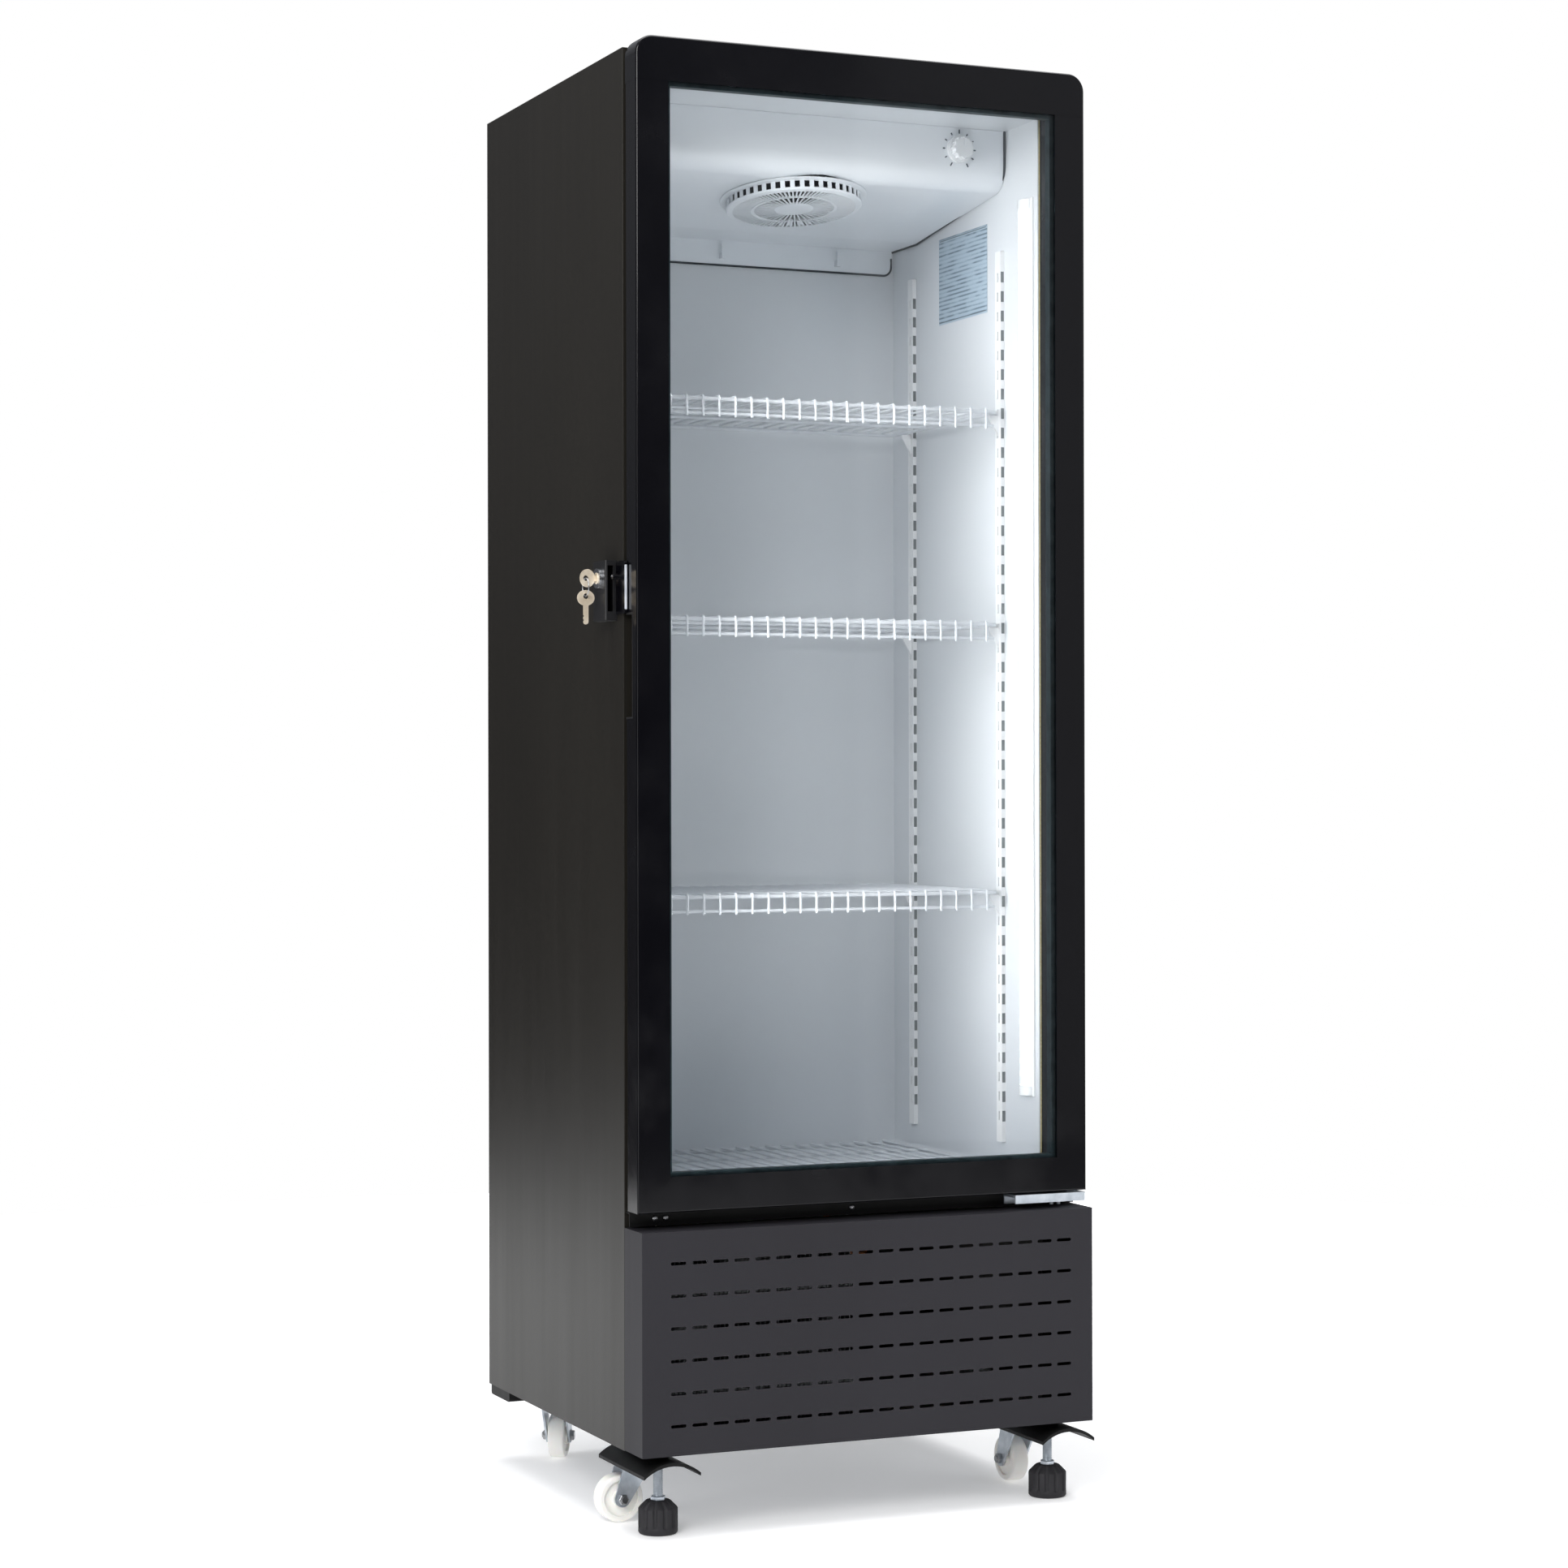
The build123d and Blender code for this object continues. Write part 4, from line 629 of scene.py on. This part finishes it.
def hoops(form, place, profile, steps):
    """Solid ring with the profile, pairs of radius and height, as its section."""
    rings = []
    for radius, height in profile:
        ring = []
        for step in range(steps):
            angle = math.tau * step / steps
            point = Vector((radius * MM * math.cos(angle), radius * MM * math.sin(angle), height * MM))
            ring.append(form.verts.new(place @ point))
        rings.append(ring)
    skin(form, rings, looped=True)


def half_round(centre, across, reach, half):
    """Outline of a shallow half-round cover, as pairs."""
    turns = [math.radians(angle) for angle in range(0, 181, 12)]
    return [(across - reach * math.sin(turn), centre - half * math.cos(turn)) for turn in turns]


def settle(name, form, body, look, stands_for=(), sharp=38):
    """Turns a finished form into a piece that moves with a CAD body."""
    bmesh.ops.recalc_face_normals(form, faces=form.faces)
    mesh = bpy.data.meshes.new(name)
    form.to_mesh(mesh)
    form.free()
    mesh.shade_smooth()
    mesh.set_sharp_from_angle(angle=math.radians(sharp))
    mesh.materials.append(LOOKS[look])
    piece = bpy.data.objects.new(name, mesh)
    bpy.context.scene.collection.objects.link(piece)
    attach(piece, body)
    if stands_for:
        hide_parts(*stands_for)
    return piece


# ---- feet and casters ---------------------------------------------------------------------
# Radius, height and depth of the flutes.
PAD_PROFILE = [
    (20, 0, 0), (22.6, 0.5, 0), (24, 2.4, 0), (24, 7, 0), (24, 8.5, 0.4), (24, 10, 2.4), (24, 30.5, 2.4),
    (23, 32, 2.2), (15.6, 39.4, 1.0), (14.6, 40, 0.2), (8.2, 40, 0), (7.6, 38.6, 0),
]
FOOT_NUT = [(8.6, 40.1, 0), (9.6, 40.8, 0), (9.6, 44.4, 0), (8.6, 45.1, 0)]
THREAD_TURN = [(5.25, 0, 0), (6.0, 0.6, 0), (6.0, 0.85, 0), (5.25, 1.45, 0)]
THREAD_PITCH = 1.5
THREAD_START = 38.0
PAD_TOP = 40
BOLT_HEAD = [(6.4, 16.3, 0), (6.9, 16.8, 0), (6.9, 20.4, 0), (5.9, 21.2, 0)]
BOLT_WASHER = [(8.2, 16.4, 0), (8.2, 17.3, 0)]
BOLT_NUT = [(5.8, -21.4, 0), (6.8, -20.6, 0), (6.8, -17.4, 0), (6.4, -16.4, 0)]
BOLT_END = [(3.8, -23, 0), (4.1, -22.5, 0), (4.1, -21, 0)]
# Heights are measured down from the race's top plane.
RACE_PROFILE = [
    (15, -9), (18.5, -9), (19.4, -8.2), (19.4, -6.4), (17.6, -5.6), (17.4, -4.8), (19.2, -4), (19.2, -2.6),
    (17.8, -1.8), (15, -1.6),
]
RACE_DROP = 12


def make_foot(side):
    """Fluted pad with a chamfered top, and a threaded stem with a lock nut."""
    node = f"foot_{side}"
    low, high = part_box(node)
    centre = (low + high) / 2
    place = Matrix.Translation((centre.x, centre.y, 0))
    pad = bmesh.new()
    lathe(pad, place, PAD_PROFILE, 144)
    settle(f"{node}_pad", pad, node, "soft_black", (node,), 50)
    stem = bmesh.new()
    thread = [(5.0, THREAD_START - 1, 0)]
    top = high.z / MM
    for turn in range(int((top - PAD_TOP) / THREAD_PITCH)):
        base = THREAD_START + THREAD_PITCH * turn
        thread += [(radius, base + height, depth) for radius, height, depth in THREAD_TURN]
    thread += [(5.1, top - 0.6, 0), (4.4, top, 0)]
    lathe(stem, place, thread, 32)
    settle(f"{node}_stem", stem, node, "zinc", (), 60)
    nut = bmesh.new()
    lathe(nut, place, FOOT_NUT, 6)
    settle(f"{node}_nut", nut, node, "zinc", (), 20)


def make_caster_trim(name):
    """Axle bolt with a nut, and the ball race ring of the swivel."""
    roll = JOINTS[f"caster_roll_{name}"]
    swivel = JOINTS[f"caster_swivel_{name}"]
    fork = f"caster_fork_{name}"
    axis = Vector(roll["axis"]).normalized()
    turn = axis.to_track_quat("Z", "Y").to_matrix().to_4x4()
    place = Matrix.Translation(roll["pos_m"]) @ turn
    bolt = bmesh.new()
    for profile, steps in ((BOLT_HEAD, 6), (BOLT_WASHER, 32), (BOLT_NUT, 6), (BOLT_END, 24)):
        lathe(bolt, place, profile, steps)
    settle(f"{fork}_axle_bolt", bolt, fork, "screw_steel", (), 25)
    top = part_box(fork)[1].z / MM - RACE_DROP
    race = bmesh.new()
    centre = Matrix.Translation((swivel["pos_m"][0], swivel["pos_m"][1], 0))
    lathe(race, centre, [(radius, top + height, 0) for radius, height in RACE_PROFILE], 64)
    settle(f"{fork}_race", race, fork, "zinc", (), 40)


# ---- door ---------------------------------------------------------------------------------
GASKET_WIDE = 22.0
# Inset from the gasket's outline and depth behind its front, over half of its width.
GASKET_HALF = [
    (2, 0), (0.8, 0.5), (0.8, 1.5), (3.2, 2.3), (4.0, 3.0), (3.2, 3.7), (0.6, 4.2), (0, 5.0), (0, 6.8),
    (0.9, 7.6),
]
# Distances of the striker edge, pale as a painted highlight, from the keeper's box.
STRIKER_SIDES = (3.9 * MM, 0.9 * MM)
STRIKER_FRONT = 0.5 * MM
STRIKER_DEPTH = 1.2 * MM
STRIKER_ENDS = 5 * MM


def make_gasket():
    """Seal frame with mitred corners: dart, base strip, bellows fold and magnet bulb."""
    low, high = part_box("door_gasket")
    front = low.y
    profile = GASKET_HALF + [(GASKET_WIDE - inset, deep) for inset, deep in reversed(GASKET_HALF)]
    rings = []
    form = bmesh.new()
    for inset, deep in profile:
        cut = inset * MM
        y = front + deep * MM
        corners = ((low.x + cut, low.z + cut), (high.x - cut, low.z + cut), (high.x - cut, high.z - cut),
                   (low.x + cut, high.z - cut))
        rings.append([form.verts.new((x, y, z)) for x, z in corners])
    skin(form, rings, looped=True)
    settle("gasket_bellows", form, "door", "gasket_rubber", ("door_gasket",), 30)


def make_keeper_lip():
    """Pale striker edge on the front of the keeper plate: a plated strip whose brightness is a painted
    highlight.
    """
    low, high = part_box("lock_keeper")
    form = bmesh.new()
    left, right = high.x - STRIKER_SIDES[0], high.x - STRIKER_SIDES[1]
    corner = (left, low.y - STRIKER_FRONT, low.z + STRIKER_ENDS)
    slab(form, corner, (right, low.y + STRIKER_DEPTH, high.z - STRIKER_ENDS), 0.4 * MM)
    settle("keeper_edge_highlight", form, "door", "striker_highlight", ())


# ---- cabin --------------------------------------------------------------------------------
CARRIER_THICK = 3.4
CARRIER_HALF = 17
CARRIER_FLAT = 15.6
LENS_REACH, LENS_HALF = 8, 13.4
CAP_REACH, CAP_HALF = 8.6, 14.4
CAP_LONG = 12 * MM
LENS_END = 9 * MM
SEAL_RADIUS = 1.5 * MM
SKIRT_SEAL_RADIUS = 1.4 * MM
NOSE_RADIUS = 30.6
SLOPE_DROP = 107.6
SKIRT_CORNER = 12

FAN_SLATS = 44
FAN_STEPS = 132
# Radius and height of the fan guard's three rings, then radius, height and flutes of its hub.
FAN_COLLAR = [
    (86.5, 0.3), (94.5, 0.3), (95.5, 0.9), (95.5, 1.7), (94.5, 2.4), (88.5, 2.6), (87.6, 3.4), (86.5, 3.4),
]
FAN_RIM = [
    (86.5, 12.0), (88.0, 12.0), (88.4, 13.2), (87.2, 14.8), (84.5, 15.6), (80.0, 16.0), (80.0, 14.2),
    (84.0, 13.8),
]
FAN_MIDDLE = [(52.0, 14.2), (56.0, 14.2), (56.0, 16.2), (52.0, 16.2)]
FAN_HUB = [(20, 13.6, 0), (24.5, 13.6, 0), (25.5, 14.4, 0), (25.0, 15.8, 0), (18.0, 16.8, 0), (6.0, 17.2, 0)]
# Start and end corners of one post of the guard's wall, one long slat and one short slat.
FAN_POST = ((86.6, -3.0, 2.5), (88.2, 3.0, 12.6))
FAN_SLAT = ((23.5, -1.1, 14.2), (81.0, 1.1, 15.8))
FAN_SHORT_SLAT = ((53.0, -1.1, 14.2), (81.0, 1.1, 15.8))
FAN_EDGE = 0.3 * MM

DIAL_TICKS = 11
DIAL_SWEEP = 300.0
TICK_START = 20.4 * MM
TICK_END = 23.6 * MM
LONG_TICK_END = 25.5 * MM
TICK_HALF = 0.8 * MM
TICK_SUNK = 0.3 * MM
TICK_RAISED = 0.9 * MM

LINER_SHEET = 1.2 * MM
LABEL_FRONT, LABEL_REAR = 52 * MM, 195 * MM
LABEL_DROP, LABEL_TALL = 112 * MM, 116 * MM
LABEL_MARGIN = 3 * MM
LABEL_THICK = (0.55 * MM, 0.05 * MM)
RULE_THICK = (0.7 * MM, 0.5 * MM)
RULE_HALF = 0.5 * MM

STANDARD_ROWS = 44
SLOT_PITCH = 25.4 * MM
STANDARD_HALF = 7.5 * MM
# How far behind an upright's inner face the middles of its painted-shade slabs and bars lie.
SLAB_DEPTH = 3.0 * MM
# Half sizes of the dark slab down in a slot and of the dark bar on the front side, both painted slot shade,
# with the bar middle's depth there.
SLOT_SLAB = Vector((0.25, 1.8, 6.1)) * MM
FRONT_BAR = Vector((2.2, 0.25, 7.0)) * MM
FRONT_BAR_SUNK = 0.05 * MM

RAIL_SCREW_Z = 381 * MM
RAIL_SCREW_XS = (-270 * MM, -256 * MM, -8 * MM)
REAR_SCREW_ZS = (130 * MM, 360 * MM, 420 * MM, 1100 * MM, 1770 * MM)
REAR_SCREW_INSET = 4.2 * MM
SCREW_SUNK = 2 * MM
SCREW_HEAD = [(3.6, 0, 0), (3.6, 0.5, 0), (3.2, 1.2, 0), (2.3, 1.75, 0), (1.2, 2.0, 0), (1.0, 1.1, 0)]
REAR_SCREW_SCALE = 1.17


def make_strips():
    """Light strips: painted carriers, frosted half-round covers and moulded end caps."""
    low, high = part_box("led_strips")
    middle = (low.y + high.y) / 2 / MM
    plate = bmesh.new()
    lens = bmesh.new()
    caps = bmesh.new()
    centre = (low.x + high.x) / 2
    wall = (high.x - centre) / MM
    for side in (-1, 1):
        face = Matrix.Translation((centre, 0, 0)) @ Matrix.Diagonal((side, 1, 1, 1))
        back, front = wall, wall - CARRIER_THICK
        outline = [(back, middle - CARRIER_HALF), (front + 1, middle - CARRIER_HALF),
                   (front, middle - CARRIER_FLAT), (front, middle + CARRIER_FLAT),
                   (front + 1, middle + CARRIER_HALF), (back, middle + CARRIER_HALF)]
        prism(plate, face, outline, low.z, high.z)
        bulge = half_round(middle, front, LENS_REACH, LENS_HALF)
        prism(lens, face, bulge, low.z + LENS_END, high.z - LENS_END)
        shell = half_round(middle, front, CAP_REACH, CAP_HALF)
        for start in (low.z + 1 * MM, high.z - CAP_LONG - 1 * MM):
            prism(caps, face, shell, start, start + CAP_LONG, 0.12)
    settle("strip_carriers", plate, "cabinet", "white_paint", ("led_strips",), 30)
    settle("strip_lenses", lens, "cabinet", "lens", ())
    settle("strip_end_caps", caps, "cabinet", "knob_plastic", ())


def make_cover_seal():
    """Dark bead where the cooling unit's cover meets the side walls, and along its skirt."""
    low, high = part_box("evaporator_cover")
    front, top = low.y / MM, high.z / MM
    nose = arc((front + 30, top - 44.3), NOSE_RADIUS, 180, 263, 8)
    slope = [(front + 262, top - SLOPE_DROP), (high.y / MM - 1, top - SLOPE_DROP)]
    side_line = [(front - 0.6, top)] + nose + slope
    form = bmesh.new()
    for x in (low.x + 1.2 * MM, high.x - 1.2 * MM):
        pipe(form, [Vector((x, y * MM, z * MM)) for y, z in side_line], SEAL_RADIUS)
    left, right, skirt = low.x / MM + 4, high.x / MM - 4, low.z / MM
    turn = SKIRT_CORNER
    bottom = [(left, skirt + 2 * turn)]
    bottom += arc((left + turn, skirt + turn), turn, 180, 270)
    bottom += arc((right - turn, skirt + turn), turn, 270, 360)
    bottom.append((right, skirt + 2 * turn))
    pipe(form, [Vector((x * MM, high.y - 2.2 * MM, z * MM)) for x, z in bottom], SKIRT_SEAL_RADIUS)
    settle("cover_seal", form, "cabinet", "seal_grey", ())


def make_fan_grille():
    """Shallow drum under the fan: slotted side wall, rounded rim and a face of fine radial slats."""
    joint = JOINTS["evaporator_fan_spin"]
    turn = Vector(joint["axis"]).to_track_quat("Z", "Y").to_matrix().to_4x4()
    place = Matrix.Translation(joint["pos_m"]) @ turn
    form = bmesh.new()
    for profile in (FAN_COLLAR, FAN_RIM, FAN_MIDDLE):
        hoops(form, place, profile, FAN_STEPS)
    lathe(form, place, FAN_HUB, 64)
    for number in range(FAN_SLATS):
        spin = place @ Matrix.Rotation(math.tau * number / FAN_SLATS, 4, "Z")
        half = spin @ Matrix.Rotation(math.pi / FAN_SLATS, 4, "Z")
        for (start, end), turned in ((FAN_POST, spin), (FAN_SLAT, spin), (FAN_SHORT_SLAT, half)):
            slab(form, Vector(start) * MM, Vector(end) * MM, FAN_EDGE, turned)
    settle("fan_guard", form, "cabinet", "cover_plastic", ("fan_grille",), 35)


def make_dial_scale():
    """Raised ticks round the thermostat knob, longer at the ends and in the middle."""
    joint = JOINTS["thermostat_turn"]
    centre = Vector((joint["pos_m"][0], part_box("evaporator_cover")[0].y, joint["pos_m"][2]))
    form = bmesh.new()
    for number in range(DIAL_TICKS):
        angle = math.radians(-DIAL_SWEEP / 2 + DIAL_SWEEP * number / (DIAL_TICKS - 1))
        reach = LONG_TICK_END if number % 5 == 0 else TICK_END
        place = Matrix.Translation(centre) @ Matrix.Rotation(angle, 4, "Y")
        slab(form, (-TICK_HALF, -TICK_RAISED, TICK_START), (TICK_HALF, TICK_SUNK, reach), 0.15 * MM, place)
    settle("thermostat_scale", form, "cabinet", "scale_ink")


def make_wall_label():
    """Thin blank label on the right wall, below the cooling unit."""
    cover_low, cover_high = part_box("evaporator_cover")
    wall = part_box("inner_liner")[1].x - LINER_SHEET
    form = bmesh.new()
    front, rear = cover_low.y + LABEL_FRONT, cover_low.y + LABEL_REAR
    top = cover_high.z - LABEL_DROP
    near, far = LABEL_THICK
    slab(form, (wall - near, front, top - LABEL_TALL), (wall - far, rear, top), 0.2 * MM)
    settle("wall_label", form, "cabinet", "label")
    rules = bmesh.new()
    near, far = RULE_THICK
    for z in (top - LABEL_MARGIN, top - LABEL_TALL + LABEL_MARGIN):
        corner = (wall - near, front + LABEL_MARGIN, z - RULE_HALF)
        slab(rules, corner, (wall - far, rear - LABEL_MARGIN, z + RULE_HALF))
    settle("wall_label_rules", rules, "cabinet", "scale_ink")


def make_slot_shade():
    """Painted shade: a dark slab deep in each slot of the four uprights, and a dark bar on their front side.

    The CAD has slots on the inner side only, so the bars paint the shade of slots there and are a little
    proud.
    """
    low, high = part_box("shelf_standards")
    middle = (low.z + high.z) / 2
    form = bmesh.new()
    for x, side in ((low.x, 1), (high.x, -1)):
        depth = x + side * SLAB_DEPTH
        for y in (low.y + STANDARD_HALF, high.y - STANDARD_HALF):
            for row in range(STANDARD_ROWS):
                z = middle + (row - (STANDARD_ROWS - 1) / 2) * SLOT_PITCH
                inner = Vector((depth, y, z))
                slab(form, inner - SLOT_SLAB, inner + SLOT_SLAB)
                # Painted shade of a slot on the front side, where the CAD has none.
                front = Vector((depth, y - STANDARD_HALF + FRONT_BAR_SUNK, z))
                slab(form, front - FRONT_BAR, front + FRONT_BAR)
    settle("standard_slot_shade", form, "cabinet", "slot_painted_shade")


def make_screws():
    """Domed heads with a round recess in place of the plain heads."""
    low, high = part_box("cabinet_screws")
    rail_low, rail_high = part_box("front_rail")
    centre = (rail_low.x + rail_high.x) / 2
    front = bmesh.new()
    rear = bmesh.new()
    face_front = Matrix.Rotation(math.radians(90), 4, "X")
    face_rear = Matrix.Rotation(math.radians(-90), 4, "X")
    for x in RAIL_SCREW_XS:
        place = Matrix.Translation((centre + x, low.y + SCREW_SUNK, RAIL_SCREW_Z))
        lathe(front, place @ face_front, SCREW_HEAD, 32)
    big = [(radius * REAR_SCREW_SCALE, height, depth) for radius, height, depth in SCREW_HEAD]
    for x in (low.x + REAR_SCREW_INSET, high.x - REAR_SCREW_INSET):
        for z in REAR_SCREW_ZS:
            lathe(rear, Matrix.Translation((x, high.y - SCREW_SUNK, z)) @ face_rear, big, 32)
    settle("rail_screws", front, "cabinet", "screw_steel", ("cabinet_screws",), 35)
    settle("rear_screws", rear, "cabinet", "screw_steel", (), 35)


def make_pieces():
    """All the pieces that Blender adds to the CAD bodies."""
    for side in ("left", "right"):
        make_foot(side)
    for name in ("front_left", "front_right", "rear_left", "rear_right"):
        make_caster_trim(name)
    make_gasket()
    make_keeper_lip()
    make_strips()
    make_cover_seal()
    make_fan_grille()
    make_dial_scale()
    make_wall_label()
    make_slot_shade()
    make_screws()


make_camera()
make_world()
make_lights()
make_strip_lights()
make_floor()
LOOKS = make_looks()
dress_nodes(LOOKS)
make_pieces()

bpy.context.scene.view_settings.view_transform = "Standard"
